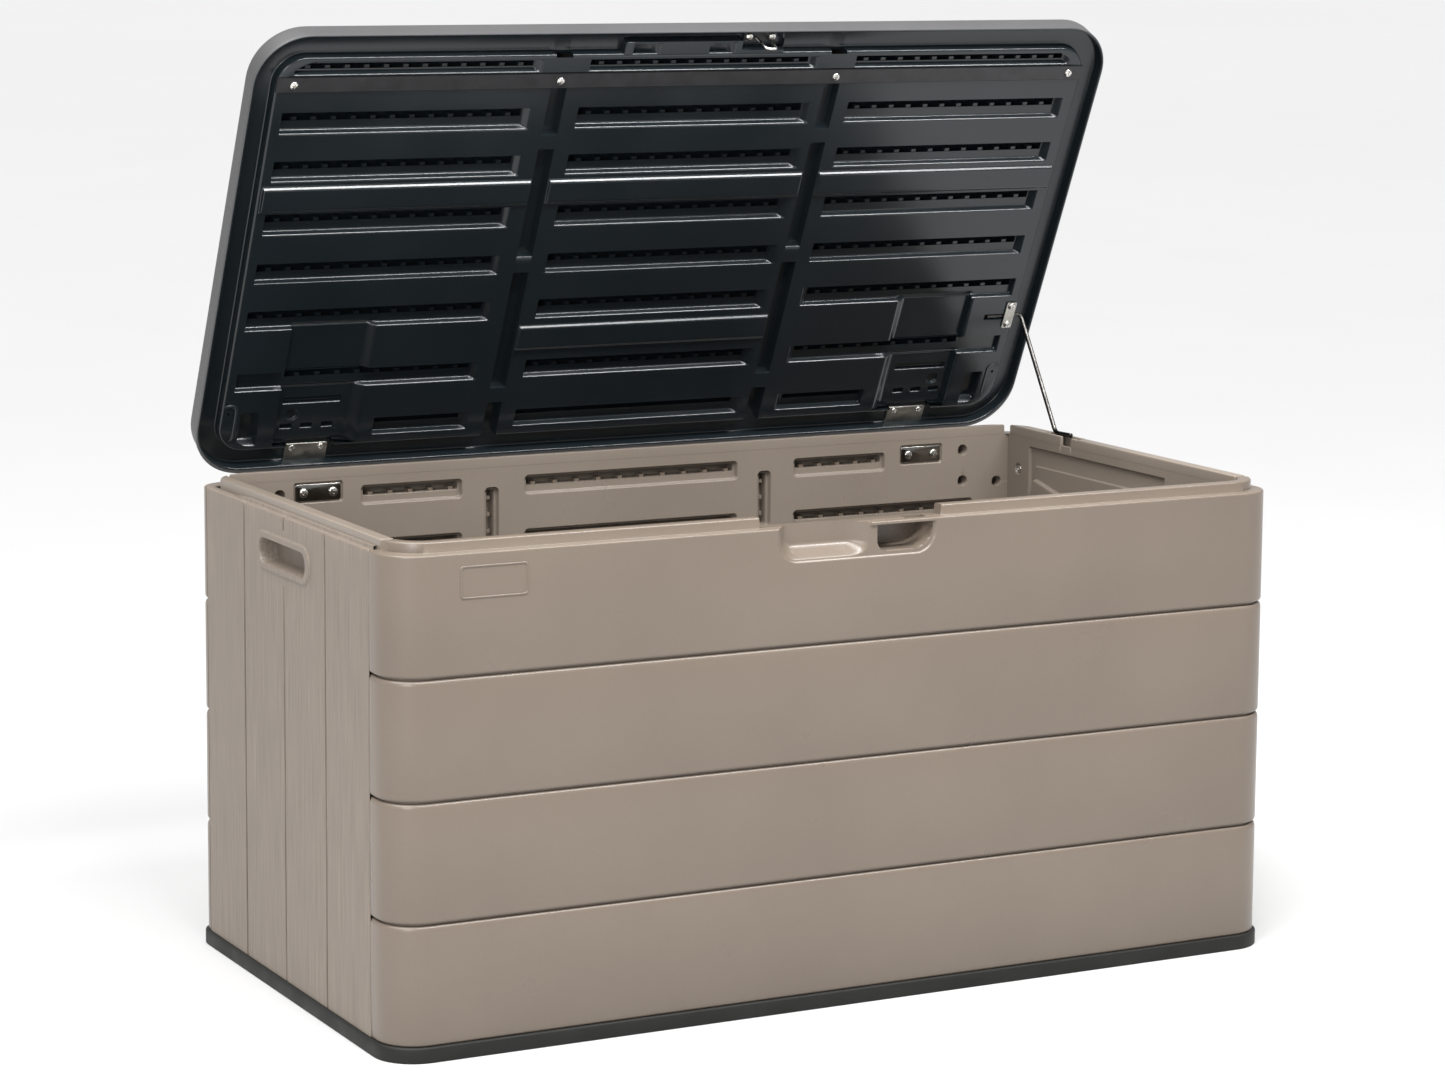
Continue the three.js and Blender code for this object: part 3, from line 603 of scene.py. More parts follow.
def wall_outside(sign, radius, seam, inset_end):
    """Outer face of a plank wall that wraps round its corners; sign is 1 at the back."""
    rows = plank_rows() + [(0, SHOULDER - 2.4), (0.4, SHOULDER - 1.1), (1.2, SHOULDER - 0.3), (2.4, SHOULDER),
                           (inset_end, SHOULDER)]
    angles = np.linspace(0, 90, 13)
    wrap = [(1, 2), (0.96, 0.5), (0.9, 0), (0.4, 0)]
    points = np.zeros((len(rows), 2 * (len(wrap) + len(angles)), 3))
    for i, (inset, z) in enumerate(rows):
        r = max(radius - inset, 2)
        cx = HALF_W - radius
        cy = HALF_D - radius
        half = [(HALF_W - inset - extra, cy + (seam - cy) * t) for t, extra in wrap]
        half += [(cx + r * math.cos(math.radians(a)), cy + r * math.sin(math.radians(a))) for a in angles]
        loop = half + [(-x, y) for x, y in half[::-1]]
        points[i] = [(x, sign * y, z) for x, y in loop]
    return points


def back_panel():
    shape = Shape()
    shape.grid(wall_outside(1, REAR_RADIUS, REAR_SEAM, WALL))

    def place(points):
        return stacked(points[:, 0], INNER_Y + points[:, 2], points[:, 1])
    field = Field(-HALF_W + 14, HALF_W - 14, BASE, SHOULDER, 80)
    for u0, u1, top in ((-393, -251, 576), (-163, 152, 575), (237, 380, 573),
                        (-393, -251, 505.5), (-163, 152, 504), (237, 521, 502)):
        wall_slot(field, shape, u0, u1, top, place)
    for u0, u1, top in ((-220, -199, 562), (182, 203, 559)):
        field.rounded(u0, u1, top - 78, top, 6, 7, 2.4)
        field.rounded(u0 + 5, u1 - 5, top - 74, top - 4, 14, 3, 1.4)
        for i in range(3):
            z = top - 18 - i * 22
            shape.block((u0 + 5, z, 16), (u1 - 9, z + 6, 8), 0.8, place)
    for side in (-1, 1):
        x, z = BACKING[side]
        field.rounded(x - 34, x + 34, z - 14, z + 14, 3, 5, 1.6)
        for u, v in ((side * 503.5, 569), (side * 504, 526), (side * 559, 522)):
            field.rounded(u - 7.5, u + 7.5, v - 7.5, v + 7.5, 18, 7.4, 2)
    u, v, h = field.heights()
    shape.grid(stacked(u, INNER_Y + h, v), finish=1)
    lip = back_lip_plan()
    extrude_lip(shape, lip, 1)
    piece("back_panel_finish", shape, [SMOOTH, INNER_PAINTED_LIGHT], "box", ["back_panel"])


SKIRT_ROOM = 6                  # from the lid's outline to the nearest lip


def lip_corner(x, y, steps):
    """Points inside the lid's rear corner, clear of its skirt, from the arc at x to the arc at y."""
    radius = LID_RADIUS - SKIRT_ROOM
    cx = LID_HALF - LID_RADIUS
    cy = LID_REAR - LID_RADIUS
    a0 = math.acos((x - cx) / radius)
    a1 = math.asin((y - cy) / radius)
    return [(cx + radius * math.cos(a), cy + radius * math.sin(a)) for a in np.linspace(a0, a1, steps)]


def back_lip_plan():
    outer = INNER_Y + REAR_LIP
    radius = LID_RADIUS - SKIRT_ROOM
    reach = LID_HALF - LID_RADIUS + math.sqrt(radius ** 2 - (INNER_Y - LID_REAR + LID_RADIUS) ** 2)
    right = [(reach, INNER_Y)] + lip_corner(reach, outer, 5)[1:]
    return right + [(-x, y) for x, y in right[::-1]]


def side_lip_plan():
    radius = LID_RADIUS - SKIRT_ROOM
    reach = LID_REAR - LID_RADIUS + math.sqrt(radius ** 2 - (INNER_X - LID_HALF + LID_RADIUS) ** 2)
    corner = lip_corner(LIP_X, reach, 8)
    return [(INNER_X, FRONT_SEAM - 8), (LIP_X, FRONT_SEAM - 8)] + corner[:-1] + [(INNER_X, reach)]


def moved_in(loop, distance):
    """A closed anticlockwise loop with every side moved in."""
    loop = np.array(loop, float)
    before = loop - np.roll(loop, 1, 0)
    after = np.roll(loop, -1, 0) - loop
    normals = []
    for edge in (before, after):
        edge = edge / np.linalg.norm(edge, axis=1, keepdims=True)
        normals.append(np.stack([-edge[:, 1], edge[:, 0]], -1))
    total = normals[0] + normals[1]
    length = np.maximum((total ** 2).sum(1, keepdims=True), 0.8)
    return loop + total * 2 * distance / length


def extrude_lip(shape, plan, finish=0):
    foot = SHOULDER - 0.2
    rings = []
    for inset, z in ((0, foot), (0, RIM - 2.4), (0.3, RIM - 1.2), (1.0, RIM - 0.3), (2.2, RIM)):
        loop = moved_in(plan, inset)
        rings.append(stacked(loop[:, 0], loop[:, 1], z))
    shape.grid(np.array(rings), closed=True, finish=finish)
    shape.cap(rings[-1], finish=finish)


# ---------------- side panels
HANDLE_Y = 15
HANDLE_Z = 539
BEZEL = (87.5, 25, 3.4)         # half length, half height and wall of the raised rim round the handle
GRIP = (75, 16, 3.6)            # the same for the pocket inside it
STEP_END = LID_REAR - LID_RADIUS - 40   # the shoulder's step stops here, clear of the lid's rear corner


def inside_handle(u, v, half_u, half_v, wall, corner):
    """0 outside the bezel or the grip, 1 inside its wall."""
    distance = inside_rect(u, v, HANDLE_Y - half_u, HANDLE_Y + half_u,
                           HANDLE_Z - half_v, HANDLE_Z + half_v, corner)
    return smooth(distance / wall)


def side_outside(side):
    pitch = (REAR_SEAM - FRONT_SEAM) / PLANKS
    field = Field(FRONT_SEAM + 0.3, REAR_SEAM - 0.3, BASE, SHOULDER - 2.4, 60)
    grooves = [FRONT_SEAM + i * pitch for i in range(1, PLANKS)]
    for y in grooves:
        field.us += [y + t for t in (-4.2, -3, -2.4, -2, -1.5, -1, 1, 1.5, 2, 2.4, 3, 4.2)]
    field.us += [FRONT_SEAM + t for t in (0.9, 1.8, 3)] + [REAR_SEAM - t for t in (0.9, 1.8, 3)]

    def planks(u, v, h):
        for y in grooves:
            depth = 7 * smooth((2.6 - np.abs(u - y)) / 1.6) ** 1.5
            if abs(y - HANDLE_Y) < 30:
                depth = depth * np.maximum(smooth((HANDLE_Z - 33 - v) / 14), smooth((v - HANDLE_Z - 29) / 6))
            h = h - depth
        edge = np.minimum(u - FRONT_SEAM, REAR_SEAM - u)
        return h - 1.5 * (1 - ramp(edge / 2)) ** 2
    field.features.append(planks)
    field.vs += list(np.arange(HANDLE_Z - 34, HANDLE_Z + 34, 1.2)) + [HANDLE_Z - 60, 490, 500]
    for start in (HANDLE_Y - 92, HANDLE_Y + 58):
        field.us += list(np.arange(start, start + 34, 1.2))

    def handle(u, v, h):
        return h + 2.4 * inside_handle(u, v, *BEZEL, 22) - 22 * inside_handle(u, v, *GRIP, 15)
    field.features.append(handle)
    for half_u, half_v, width in (BEZEL, GRIP):
        for sign in (-1, 1):
            field.wall(field.vs, HANDLE_Z + sign * half_v, -sign * width)
            field.wall(field.us, HANDLE_Y + sign * half_u, -sign * width)
    u, v, h = field.heights()
    rows = [stacked(HALF_W + h[i], u[i], v[i]) for i in range(len(u))]
    shoulder = ((0.4, -1.1), (1.2, -0.3), (2.4, 0), (6.3, 0), (6.7, 0.4), (6.9, 3.4), (7.4, 4),
                (LIP_SETBACK + 1, 4.2))
    for inset, rise in shoulder:
        dent = h[-1] if inset < 3 else 0
        level = np.where(u[-1] > STEP_END, SHOULDER + min(rise, 0), SHOULDER + rise)
        rows.append(stacked(HALF_W - inset + dent, u[-1], level))
    points = np.array(rows)
    points[..., 0] *= side
    return points


def side_inside(side):
    field = Field(-INNER_Y + 0.3, INNER_Y - 0.3, BASE, SHOULDER, 60)
    field.pocket(-101, 232, 60, 577, 4, (2.4, 2.4, 2.4, 2.4))
    field.pocket(-88, 218, 72, 552, -2.2, (2, 2, 2, 2))
    field.pocket(-163, -146, 540, 576, 9, (1.8, 1.8, 1.8, 1.8))

    def hooked_bar(u, v, h):
        """A raised bar that slopes down to the front, with a notch at its end."""
        top = 533 - 17 * ramp((210 - u) / 78)
        bar = (smooth((u - 122) / 2) * smooth((218 - u) / 2)
               * smooth((top - v) / 2) * smooth((v - top + 24) / 2))
        notch = smooth((u - 132) / 1.5) * smooth((141 - u) / 1.5) * smooth((v - top + 14) / 1.5)
        return h - 5 * bar * (1 - notch)
    field.features.append(hooked_bar)
    field.us += list(np.arange(118, 224, 2.0))
    field.vs += list(np.arange(486, 540, 1.6))
    for y in (FRONT_SEAM - 19, REAR_SEAM - 19):
        for z in (90, 542):
            field.rounded(y - 8, y + 8, z - 8, z + 8, 4, 7.8, 2.5)
    u, v, h = field.heights()
    return stacked(side * (INNER_X + h), u, v)


def side_panel(side):
    label = "right" if side > 0 else "left"
    shape = Shape()
    shape.grid(side_outside(side), flip=side < 0)
    shape.grid(side_inside(side), flip=side > 0, finish=1)
    if side < 0:
        extrude_lip(shape, [(-x, y) for x, y in side_lip_plan()[::-1]], 1)
    else:
        notched_lip(shape)
    name = f"{label}_side_panel"
    piece(f"{name}_finish", shape, [GRAINED, INNER_PAINTED_LIGHT], "box", [name])


ROD_X = HALF_W - 19
CAVITY = dict(half=4.5, y0=78, slot=112, y1=196, z0=385, z1=585)
NOTCH = (126, 152)


def notched_lip(shape):
    """The right-hand lip, cut by the slot that the stay rod drops through, and the cavity below the slot."""
    plan = side_lip_plan()
    near, far = ROD_X - CAVITY["half"], ROD_X + CAVITY["half"]
    low, high = CAVITY["slot"], CAVITY["y1"]
    extrude_lip(shape, [plan[0], plan[1], (LIP_X, low), (INNER_X, low)], 1)
    extrude_lip(shape, [(INNER_X, high), (LIP_X, high)] + [p for p in plan if p[1] > high], 1)
    extrude_lip(shape, [(far, low), (LIP_X, low), (LIP_X, high), (far, high)], 1)
    for y0, y1 in ((low, NOTCH[0]), (NOTCH[1], high)):
        extrude_lip(shape, [(INNER_X, y0), (near, y0), (near, y1), (INNER_X, y1)], 1)
    shape.cap(np.array([(INNER_X, NOTCH[0], SHOULDER), (near, NOTCH[0], SHOULDER),
                        (near, NOTCH[1], SHOULDER), (INNER_X, NOTCH[1], SHOULDER)]))
    roof, floor, front = CAVITY["z1"], CAVITY["z0"], CAVITY["y0"]
    rings = []
    for y0, z in ((low, SHOULDER), (low, roof), (front, roof), (front, floor)):
        rings.append([(near, y0, z), (far, y0, z), (far, high, z), (near, high, z)])
    shape.grid(np.array(rings, float), closed=True)
    shape.cap(np.array(rings[-1], float))


# ---------------- base tray
def base_tray():
    shape = Shape()
    rings = []
    edge = ((1.2, 0), (3.2, 0.3), (4, 1.4),
            (4, BASE - 3), (3.5, BASE - 1.2), (2.4, BASE - 0.4), (-12, BASE - 0.3))
    for step, z in edge:
        loop = tray_loop(step)
        rings.append(stacked(loop[:, 0], loop[:, 1], z))
    shape.grid(np.array(rings), closed=True)
    shape.cap(rings[0], flip=True)
    floor = Field(-INNER_X + 0.5, INNER_X - 0.5, -INNER_Y + 0.5, INNER_Y - 0.5, 60)
    for i in range(-2, 3):
        floor.rounded(i * 220 - 90, i * 220 + 90, -250, 250, 3, 14, 3)
    u, v, h = floor.heights()
    shape.grid(stacked(u, v, 26 - h))
    piece("base_tray_finish", shape, [BASE_BLACK], "box", ["base_tray"])


def tray_loop(step):
    points = []
    for sx, sy, radius, start in ((-1, -1, FRONT_RADIUS, 180), (1, -1, FRONT_RADIUS, 270),
                                  (1, 1, REAR_RADIUS, 0), (-1, 1, REAR_RADIUS, 90)):
        for i in range(13):
            a = math.radians(start + 7.5 * i)
            points.append((sx * (HALF_W - radius) + (radius + step) * math.cos(a),
                           sy * (HALF_D - radius) + (radius + step) * math.sin(a)))
    return np.array(points)


# ---------------- lid, drawn closed and then opened
def opened(points):
    """Turns points of the closed lid about the hinge to where it rests open."""
    points = np.asarray(points, float)
    y = points[..., 1] - HINGE_Y
    z = points[..., 2] - HINGE_Z
    c, s = math.cos(LID_OPEN), math.sin(LID_OPEN)
    return np.stack([points[..., 0], HINGE_Y + y * c + z * s, HINGE_Z - y * s + z * c], -1)


HINGE_CUTS = [HINGE_X - 32.5, HINGE_X - 31.5, HINGE_X + 31.5, HINGE_X + 32.5]
CHANNEL_X = 195
CHANNEL_CUTS = [CHANNEL_X - 11.5, CHANNEL_X - 10.5, CHANNEL_X + 10.5, CHANNEL_X + 11.5]
LID_CUTS = sorted([s * c for s in (-1, 1) for c in HINGE_CUTS + CHANNEL_CUTS] + [0])


def lid_ring(half, y0, y1, radius, z, lift=None):
    """A level ring with a point at each cut along its front and rear edges; lift may raise points."""
    steps = 14
    points = []
    for cx, cy, start in ((-half + radius, y0 + radius, 180), (half - radius, y0 + radius, 270),
                          (half - radius, y1 - radius, 0), (-half + radius, y1 - radius, 90)):
        for i in range(steps + 1):
            a = math.radians(start + 90 * i / steps)
            points.append((cx + radius * math.cos(a), cy + radius * math.sin(a), z))
        if start == 180:
            points += [(x, y0, z) for x in LID_CUTS]
        if start == 0:
            points += [(x, y1, z) for x in LID_CUTS[::-1]]
    points = np.array(points, float)
    if lift:
        points[:, 2] = lift(points[:, 0], points[:, 1], points[:, 2])
    return points


def hinge_gap(x, y, z):
    """The panel's rear edge is cut away where each hinge leaf lies."""
    gap = (np.abs(np.abs(x) - HINGE_X) < 32) & (y > 0)
    return np.where(gap, np.maximum(z, LID_TROUGH), z)


def panel_gaps(x, y, z):
    z = hinge_gap(x, y, z)
    channel = np.abs(np.abs(x) - CHANNEL_X) < 11
    return np.where(channel, np.maximum(z, LID_TROUGH), z)


PANEL = dict(half=INNER_X - 4, y0=-INNER_Y + 4, y1=INNER_Y - 11, radius=38)


def panel_ring(inset, z, extra=0):
    return lid_ring(PANEL["half"] - inset, PANEL["y0"] + inset, PANEL["y1"] - inset,
                    PANEL["radius"] - inset + extra, z, panel_gaps)


def skirt_ring(inset, z, flare=0):
    """A ring on the lid's skirt; flare widens it at the back only."""
    return lid_ring(LID_HALF - inset, LID_FRONT + inset, LID_REAR - inset + flare, LID_RADIUS - inset, z)


def lid_underside(shape):
    """The rim of the inner panel, the trough round it and the skirt's inner face."""
    rings = [panel_ring(4.2, LID_PANEL - 0.12, 20)]
    edge = ((4, -0.12), (2.4, 0.15), (1.1, 0.8), (0.3, 1.9), (0, 3.4))
    rings += [panel_ring(inset, LID_PANEL + rise) for inset, rise in edge]
    rings += [panel_ring(-out, LID_TROUGH - fall) for out, fall in ((0.4, 1), (1.2, 0.3), (2.5, 0))]
    skirt = ((2, LID_TROUGH), (0.6, LID_TROUGH - 0.5), (0, LID_TROUGH - 2),
             (0, 592), (-0.4, 589.4), (-1.3, 588.6), (-2.6, 588.6))
    rings += [skirt_ring(SKIRT + inset, z) for inset, z in skirt]
    shape.grid(opened(np.array(rings)), closed=True, flip=True)
    return rings[-1]


def lid_outside(shape, start):
    """The skirt's outer face, the round shoulder above it and the raised middle of the top."""
    skirt = ((0.5, 588.8, 3.4), (0, 590, 3.8), (0, 594, 3.4), (0, 598, 0.4), (0, 600))
    rounding = ((0, 9.5), (0.6, 6.2), (2.3, 3), (4.8, 0.9), (8, 0))
    middle = ((-3, 0), (-0.6, 0.8), (0.4, 3), (1.4, 6), (3.4, 8.3), (7, 9.3), (12, 9.5))

    def crown(inset, z):
        return lid_ring(LID_HALF - 40 - inset, LID_FRONT + 65 + inset, LID_REAR - 40 - inset,
                        45 - inset * 0.6, z)
    rings = [start] + [skirt_ring(*row) for row in skirt]
    rings += [skirt_ring(inset, LID_TOP - fall) for inset, fall in rounding]
    rings += [crown(inset, LID_TOP + rise) for inset, rise in middle]
    shape.grid(opened(np.array(rings)), closed=True, flip=True, finish=1)
    shape.cap(opened(rings[-1]), finish=1)


def lid_relief(shape):
    """The inner panel: three columns of comb slots, with raised bands and channels between them."""
    field = Field(-PANEL["half"] + 3.9, PANEL["half"] - 3.9, PANEL["y0"] + 3.9, PANEL["y1"] - 3.9, 60)

    def place(points):
        return opened(stacked(points[:, 0], points[:, 1], LID_PANEL + points[:, 2]))
    outer = (-558, -226)
    rows = ((-209, -179), (-142, -113), (-68, -38), (2, 31))
    columns = (outer, (-162, 172), (226, 556))
    for u0, u1 in columns:
        for v0, v1 in rows:
            comb_slot(field, shape, u0, u1, v0, v1, place)
    for v0, v1 in ((70, 99), (161, 188), (237, 263)):
        comb_slot(field, shape, -162, 172, v0, v1, place, tabs=v0 < 200)
    for u0, u1 in ((-568, -206), (-183, 183), (206, 568)):
        field.pocket(u0, u1, -107, -70, -4, (2.5, 2.5, 4, 6))
    field.pocket(-183, 183, 108, 146, -4, (2.5, 2.5, 4, 6))
    for side in (-1, 1):
        lower_corner(field, shape, side, place)
        for v0, v1 in ((-236, -170), (-150, 6), (29, 202), (224, 280)):
            x = side * CHANNEL_X
            field.pocket(x - 11, x + 11, v0, v1, 13, (2, 2, 2, 2))
    for u0, u1 in ((-551, -222), (-158, 166), (222, 551)):
        comb_slot(field, shape, u0, u1, -276, -259, place)
    field.pocket(-575, 575, -258.5, -236.5, 3.2, (1, 1, 0.8, 0.8))
    field.pocket(525, 580, 126.5, 135.5, 7, (1, 1, 1, 1))
    u, v, h = field.heights()
    middle_u, middle_v, keep = field.sheet(u, v)
    keep &= inside_rect(middle_u, middle_v, -PANEL["half"] + 3.6, PANEL["half"] - 3.6,
                       PANEL["y0"] + 3.6, PANEL["y1"] - 3.6, 48) > 0
    shape.grid(opened(stacked(u, v, LID_PANEL + h)), flip=True, keep=keep)


def lock_pad(shape):
    """The thickened middle of the panel's front edge, with two pockets, that backs the hasp."""
    field = Field(-118, LIP_GAP[1] - 1, -303, PANEL["y0"] + 1, 40)
    field.rounded(-115, LIP_GAP[1] - 3, -301, -250, -12.5, 4, 2)
    for u0 in (-102, 5):
        field.pocket(u0, u0 + 36, -297, -250, 9, (2, 9, 2, 2))
    field.pocket(51, 113, -310, -286, 12.5, (2, 2, 2, 2))
    u, v, h = field.heights()
    shape.grid(opened(stacked(u, v, LID_TROUGH - 0.3 + h)), flip=True)


def lower_corner(field, shape, side, place):
    """The stepped hollows, blocks and fixings round one hinge; drawn on the left and mirrored."""
    def pocket(u0, u1, v0, v1, depth, walls=(1.6, 1.6, 1.6, 1.6)):
        a, b, c, d = walls
        if side < 0:
            field.pocket(u0, u1, v0, v1, depth, (a, b, c, d))
        else:
            field.pocket(-u1, -u0, v0, v1, depth, (b, a, c, d))

    def comb(u0, u1, v0, v1):
        low, high = (u0, u1) if side < 0 else (-u1, -u0)
        comb_opening(field, shape, low, high, v0, v1, 7, place)
    # first hollow: a slot above it, then a floor between the outer rail and the middle block
    pocket(-560, -226, 70, 99, 7, (1.8, 10, 1.6, 4))
    comb(-556, -238, 72, 84)
    pocket(-497, -379, 92, 166, 8, (1.6, 16, 8, 4))
    pocket(-560, -228, 161, 188, 7, (1.8, 10, 1.6, 4))
    comb(-494, -240, 163, 172)
    pocket(-497, -380, 182, 300, 9, (1.6, 22, 7, 1))
    pocket(-362, -227, 237, 263, 7, (1.8, 11, 1.6, 4))
    low, high = (-359, -240) if side < 0 else (240, 359)
    comb_opening(field, shape, low, high, 239, 248, 7, place, tabs=False)
    # fixings round the hinge leaf
    pocket(-488, -409, 205, 215, 6, (1.5, 1.5, 1.2, 3))
    for u in (-487, -459, -431):
        pocket(u, u + 16, 244, 252, 6, (1.2, 1.2, 1.2, 1.8))
    pocket(-479, -411, 268, 290, 5, (3, 3, 4, 1))
    # pocket and oval boss at the outer corner
    pocket(-546, -520, 219, 271, 12, (1.8, 3, 1.8, 9))
    x0, x1 = (-575, -550) if side < 0 else (550, 575)
    field.rounded(x0 + 1, x1 - 1, 205, 264, -1.3, 11, 1.2)
    field.rounded(x0 + 3.4, x1 - 3.4, 207.5, 261.5, 1.3, 9, 1.2)
    for v in (220, 250):
        middle = (x0 + x1) / 2
        field.rounded(middle - 2, middle + 2, v - 2, v + 2, 4, 1.9, 0.8)
    centre = side * 473
    field.rounded(centre - 9, centre + 9, 222, 240, 4, 8.8, 1.6)


def lid():
    shape = Shape()
    start = lid_underside(shape)
    lid_relief(shape)
    lock_pad(shape)
    lid_outside(shape, start)
    piece("lid_panel_finish", shape, [GLOSS, PEBBLE], "lid", ["lid_panel"])


# ---------------- metal parts
BACKING = {-1: (-451, 570.5), 1: (437, 567)}    # middles of the plates on the back wall's inner face
BOLT_REACH = 20                                 # from a backing plate's middle to each bolt
LEAF_Y = 282                                    # the lid leaf's screw line, just clear of the back lip


def plate(shape, u0, u1, v0, v1, radius, thick, place):
    """A pressed plate with round corners and an eased rim, lying on w = 0 and standing up by `thick`."""
    rings = []
    for inset, w in ((0, 0), (0, thick - 0.7), (0.25, thick - 0.25), (0.8, thick)):
        loop = rounded_loop(u0 + inset, u1 - inset, v0 + inset, v1 - inset, radius - inset)
        rings.append(place(stacked(loop[:, 0], loop[:, 1], w)))
    shape.grid(np.array(rings), closed=True)
    shape.cap(rings[-1])


def on_wall(points):
    """Lays (u, v, w) on the back wall's inner face, sunk in its pocket, with w into the box."""
    return stacked(points[..., 0], INNER_Y + 3 - points[..., 2], points[..., 1])


def on_lid(points):
    """Lays (u, v, w) in the lid's trough, with w down from the closed lid."""
    return opened(stacked(points[..., 0], points[..., 1], LID_TROUGH - 0.5 - points[..., 2]))


def hinge_plates():
    for side, label in ((-1, "left"), (1, "right")):
        x, z = BACKING[side]
        shape = Shape()
        plate(shape, x - 31, x + 31, z - 11, z + 11, 3, 2.2, on_wall)
        name = f"{label}_hinge_backing_plate"
        piece(f"{name}_finish", shape, [DARK_CHROME], "box", [name])
        middle = side * HINGE_X
        shape = Shape()
        plate(shape, middle - 29, middle + 29, LEAF_Y - 6, HALF_D - 11.5, 3, 2.5, on_lid)
        plate(shape, middle - 14, middle + 14, LEAF_Y, HINGE_Y + 5, 2, 2.45, on_lid)
        name = f"{label}_hinge_lid_leaf"
        piece(f"{name}_finish", shape, [ZINC], "lid", [name])


def turned(points, origin, towards):
    """Points drawn round +Z, moved so that +Z points along `towards`."""
    turn = Vector(towards).to_track_quat("Z", "Y").to_matrix()
    return np.asarray(points) @ np.array(turn).T + np.array(origin)


def screw_head(shape, origin, towards, radius=5.4, height=2.7):
    """A pan head with a cross recess; towards points out of the work."""
    sides = 48
    shares = (0, 0.12, 0.24, 0.36, 0.46, 0.56, 0.68, 0.8, 0.9, 0.96, 1, 1)
    rings = []
    for i, share in enumerate(shares):
        a = np.arange(sides) * 2 * math.pi / sides
        x, y = share * np.cos(a), share * np.sin(a)
        z = height * np.sqrt(np.maximum(1 - 0.62 * share ** 2 - 0.38 * share ** 8, 0)) + 0 * a
        arm = np.minimum(np.abs(x), np.abs(y)) < 0.13
        z = np.where(arm & (share < 0.5), z - 1.3, z)
        if i == len(shares) - 1:
            z = z * 0 - 0.3
        rings.append(stacked(x * radius, y * radius, z))
    shape.grid(turned(np.array(rings), origin, towards), closed=True, flip=True)


def screws():
    """A cross-recessed head for every screw and bolt of the CAD. The shanks are hidden and left out."""
    down = tuple(opened([0, 0, -1]) - opened([0, 0, 0]))
    inward = {"left": (1, 0, 0), "right": (-1, 0, 0)}
    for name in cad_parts:
        if "screw" not in name and "bolt" not in name:
            continue
        label = name.split("_")[0]
        on_lid = label in ("bar", "hasp", "bracket") or "leaf" in name
        towards = down if on_lid else (0, -1, 0) if "bolt" in name else inward[label]
        axis = np.array(towards)
        corners = np.array([v.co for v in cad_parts[name].data.vertices], float) / MM
        along = corners @ axis
        seat = corners[along > along.max() - 0.01].mean(0) - axis * 2.6
        if "bolt" in name:
            middle, height = BACKING[-1 if label == "left" else 1]
            reach = math.copysign(BOLT_REACH, abs(seat[0]) - HINGE_X) * math.copysign(1, seat[0])
            seat[0], seat[2] = middle + reach, height
        if "leaf" in name:
            seat = opened([seat[0], LEAF_Y, LID_TROUGH - 3])
        shape = Shape()
        radius = 6 if "bolt" in name else 4.8 if "leaf" in name else 5.4
        screw_head(shape, seat, towards, radius, 2.75)
        body = "lid" if on_lid else "box"
        piece(f"{name}_finish", shape, [CHROME], body, [name], crease=35)


def bent_tube(shape, points, bend, radius, sides=20):
    """A round bar along straight runs joined by round bends, with rounded ends."""
    points = [Vector(p) for p in points]
    path = [points[0]]
    for before, corner, after in zip(points, points[1:], points[2:]):
        a = corner + (before - corner).normalized() * bend
        b = corner + (after - corner).normalized() * bend
        for i in range(9):
            t = i / 8
            path.append(a * (1 - t) ** 2 + corner * 2 * t * (1 - t) + b * t * t)
    path.append(points[-1])
    rings = []
    side = None
    for i, point in enumerate(path):
        ahead = (path[min(i + 1, len(path) - 1)] - path[max(i - 1, 0)]).normalized()
        side = ahead.orthogonal() if side is None else side - ahead * side.dot(ahead)
        side.normalize()
        up = ahead.cross(side)
        ring = [point + side * (radius * math.cos(a)) + up * (radius * math.sin(a))
                for a in np.arange(sides) * 2 * math.pi / sides]
        if i in (0, len(path) - 1):
            sign = -1 if i == 0 else 1
            inner = [p + (point - p) * 0.35 + ahead * sign * 0.8 for p in ring]
            rings += [inner, ring] if i == 0 else [ring, inner]
        else:
            rings.append(ring)
    rings = np.array([[tuple(p) for p in ring] for ring in rings])
    shape.grid(rings, closed=True, flip=True)
    shape.cap(rings[0])
    shape.cap(rings[-1], flip=True)


ROD_PIVOT = (131, 595.8)        # y and z on the closed lid
ROD_SPAN = 181                  # from the pivot to the bend above the foot
ROD_FALL = math.radians(58)
ROD_FOOT = 39


def stay_rod():
    low, high = (np.array(corner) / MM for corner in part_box("stay_rod"))
    radius = 3
    x = high[0] - radius
    pivot = opened([0, *ROD_PIVOT])
    y, z = pivot[1], pivot[2]
    foot_y = y - ROD_SPAN * math.cos(ROD_FALL)
    foot_z = z - ROD_SPAN * math.sin(ROD_FALL)
    corners = [(low[0] + 1, y, z), (x, y, z), (x, foot_y, foot_z), (x, foot_y - ROD_FOOT, foot_z + 1)]
    shape = Shape()
    bent_tube(shape, corners, 8, radius)
    piece("stay_rod_finish", shape, [ROD_STEEL], "stay_rod", ["stay_rod"], crease=40)


HASP_X = 80
HASP_Y = -300
LOOP_TOP = 601.8
LOOP_DROP = 34
LOOP_HALF = 7.5


def hasp_loop():
    ends = ((-LOOP_HALF, LOOP_TOP), (-LOOP_HALF, LOOP_TOP - LOOP_DROP),
            (LOOP_HALF, LOOP_TOP - LOOP_DROP), (LOOP_HALF, LOOP_TOP))
    corners = [(HASP_X + offset, HASP_Y, z) for offset, z in ends]
    shape = Shape()
    bent_tube(shape, [tuple(p) for p in opened(corners)], 6, 2, 14)
    piece("hasp_loop_finish", shape, [CHROME], "lid", ["hasp_loop"], crease=40)


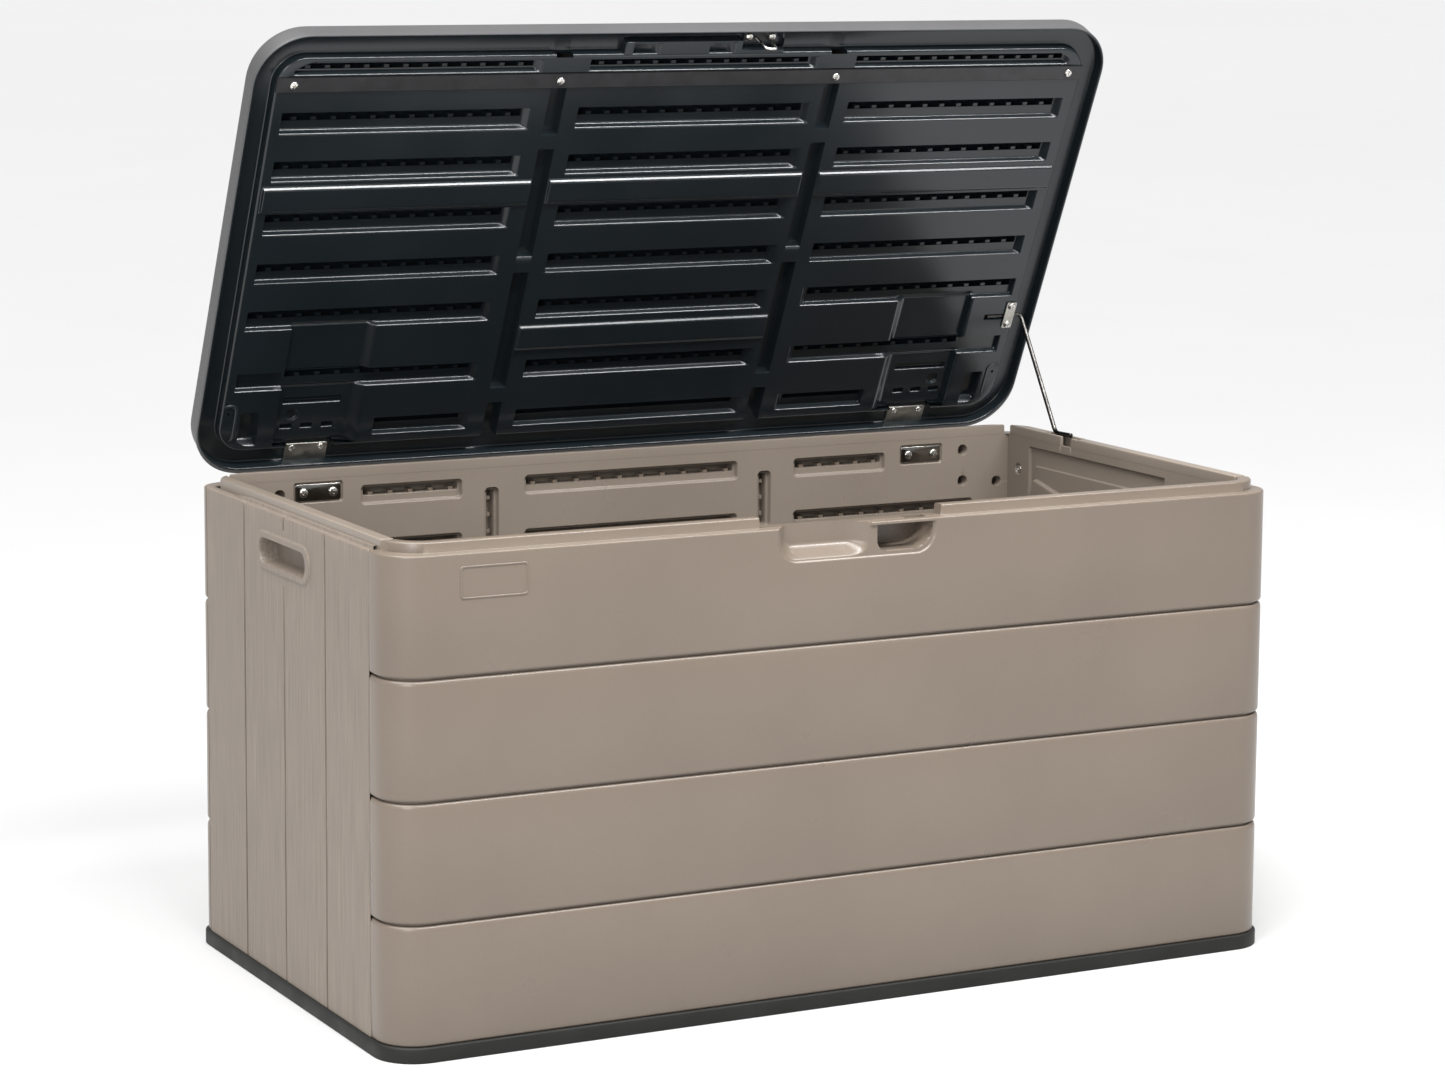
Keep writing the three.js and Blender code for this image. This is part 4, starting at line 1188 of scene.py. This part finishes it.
def carried_over():
    """The CAD nodes that no piece stands for get eased edges and a finish."""
    for name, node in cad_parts.items():
        if node.hide_render:
            continue
        finish = BAR_BLACK if name in ("lid_stiffener_bar", "hasp_plate") else ZINC
        node.data.materials.clear()
        node.data.materials.append(finish)
        bevel = node.modifiers.new("eased", "BEVEL")
        bevel.width = 0.0007
        bevel.segments = 2
        bevel.limit_method = "ANGLE"
        bevel.angle_limit = math.radians(40)
        node.modifiers.new("normals", "WEIGHTED_NORMAL")


# ---------------- stage, light and camera
def stage():
    mesh = bpy.data.meshes.new("studio_floor")
    size = 60
    corners = [(-size, -size, 0), (size, -size, 0), (size, size, 0), (-size, size, 0)]
    mesh.from_pydata(corners, [], [(0, 1, 2, 3)])
    floor = linked("studio_floor", mesh)
    f = Finish("pale_floor")
    f.colour(f.noise(0.1), srgb(185, 185, 185), srgb(187, 187, 187))
    f.gloss(f.noise(2), 0.7, 0.8)
    mesh.materials.append(f.material)
    world = bpy.data.worlds.new("studio")
    bpy.context.scene.world = world
    world.use_nodes = True
    world.node_tree.nodes["Background"].inputs["Color"].default_value = (1, 1, 1, 1)
    world.node_tree.nodes["Background"].inputs["Strength"].default_value = 0.5
    bpy.context.scene.view_settings.view_transform = "Standard"


def aimed(name, light, towards):
    made = linked(name, light)
    made.rotation_mode = "QUATERNION"
    made.rotation_quaternion = Vector(towards).to_track_quat("-Z", "Y")
    return made


def sky_panel(towards, strength, spread):
    """One broad soft light, far away, so that the floor is evenly lit out to the horizon."""
    light = bpy.data.lights.new("sky_panel", "SUN")
    light.energy = strength
    light.angle = math.radians(spread)
    aimed("sky_panel", light, towards)


def soft_box(name, place, aim, size, watts):
    light = bpy.data.lights.new(name, "AREA")
    light.shape = "RECTANGLE"
    light.size, light.size_y = size
    light.energy = watts
    made = aimed(name, light, Vector(aim) - Vector(place))
    made.location = place
    made.visible_camera = False


CAMERA_PLACE = (-2.28833, -4.32567, 1.32244)
CAMERA_TURN = (27.653, 7.880, 0.427)    # yaw, downward pitch and roll, in degrees
LENS = 97.85                            # on a 36 mm wide sensor
LENS_SHIFT = -0.0692


def camera():
    data = bpy.data.cameras.new("camera")
    data.lens = LENS
    data.sensor_width = 36
    data.shift_y = LENS_SHIFT
    data.clip_end = 200
    made = linked("camera", data)
    yaw, pitch, roll = (math.radians(a) for a in CAMERA_TURN)
    ahead = Vector((math.sin(yaw) * math.cos(pitch), math.cos(yaw) * math.cos(pitch), -math.sin(pitch)))
    level = Vector((math.cos(yaw), -math.sin(yaw), 0))
    above = level.cross(ahead)
    right = level * math.cos(roll) + above * math.sin(roll)
    up = above * math.cos(roll) - level * math.sin(roll)
    turn = Matrix((right, up, -ahead)).transposed().to_4x4()
    made.matrix_world = Matrix.Translation(CAMERA_PLACE) @ turn
    bpy.context.scene.camera = made


front_panel()
back_panel()
side_panel(-1)
side_panel(1)
base_tray()
lid()
hinge_plates()
screws()
stay_rod()
hasp_loop()
carried_over()
stage()
sky_panel((0.42, 0.12, -1), 4.6, 50)
soft_box("strip", (0.6, -1.6, 2.9), (0.1, 0.35, 0.75), (3.2, 0.28), 140)
soft_box("left_key", (-2.1, -2.0, 1.3), (-0.6, -0.25, 0.4), (0.9, 0.9), 26)
camera()
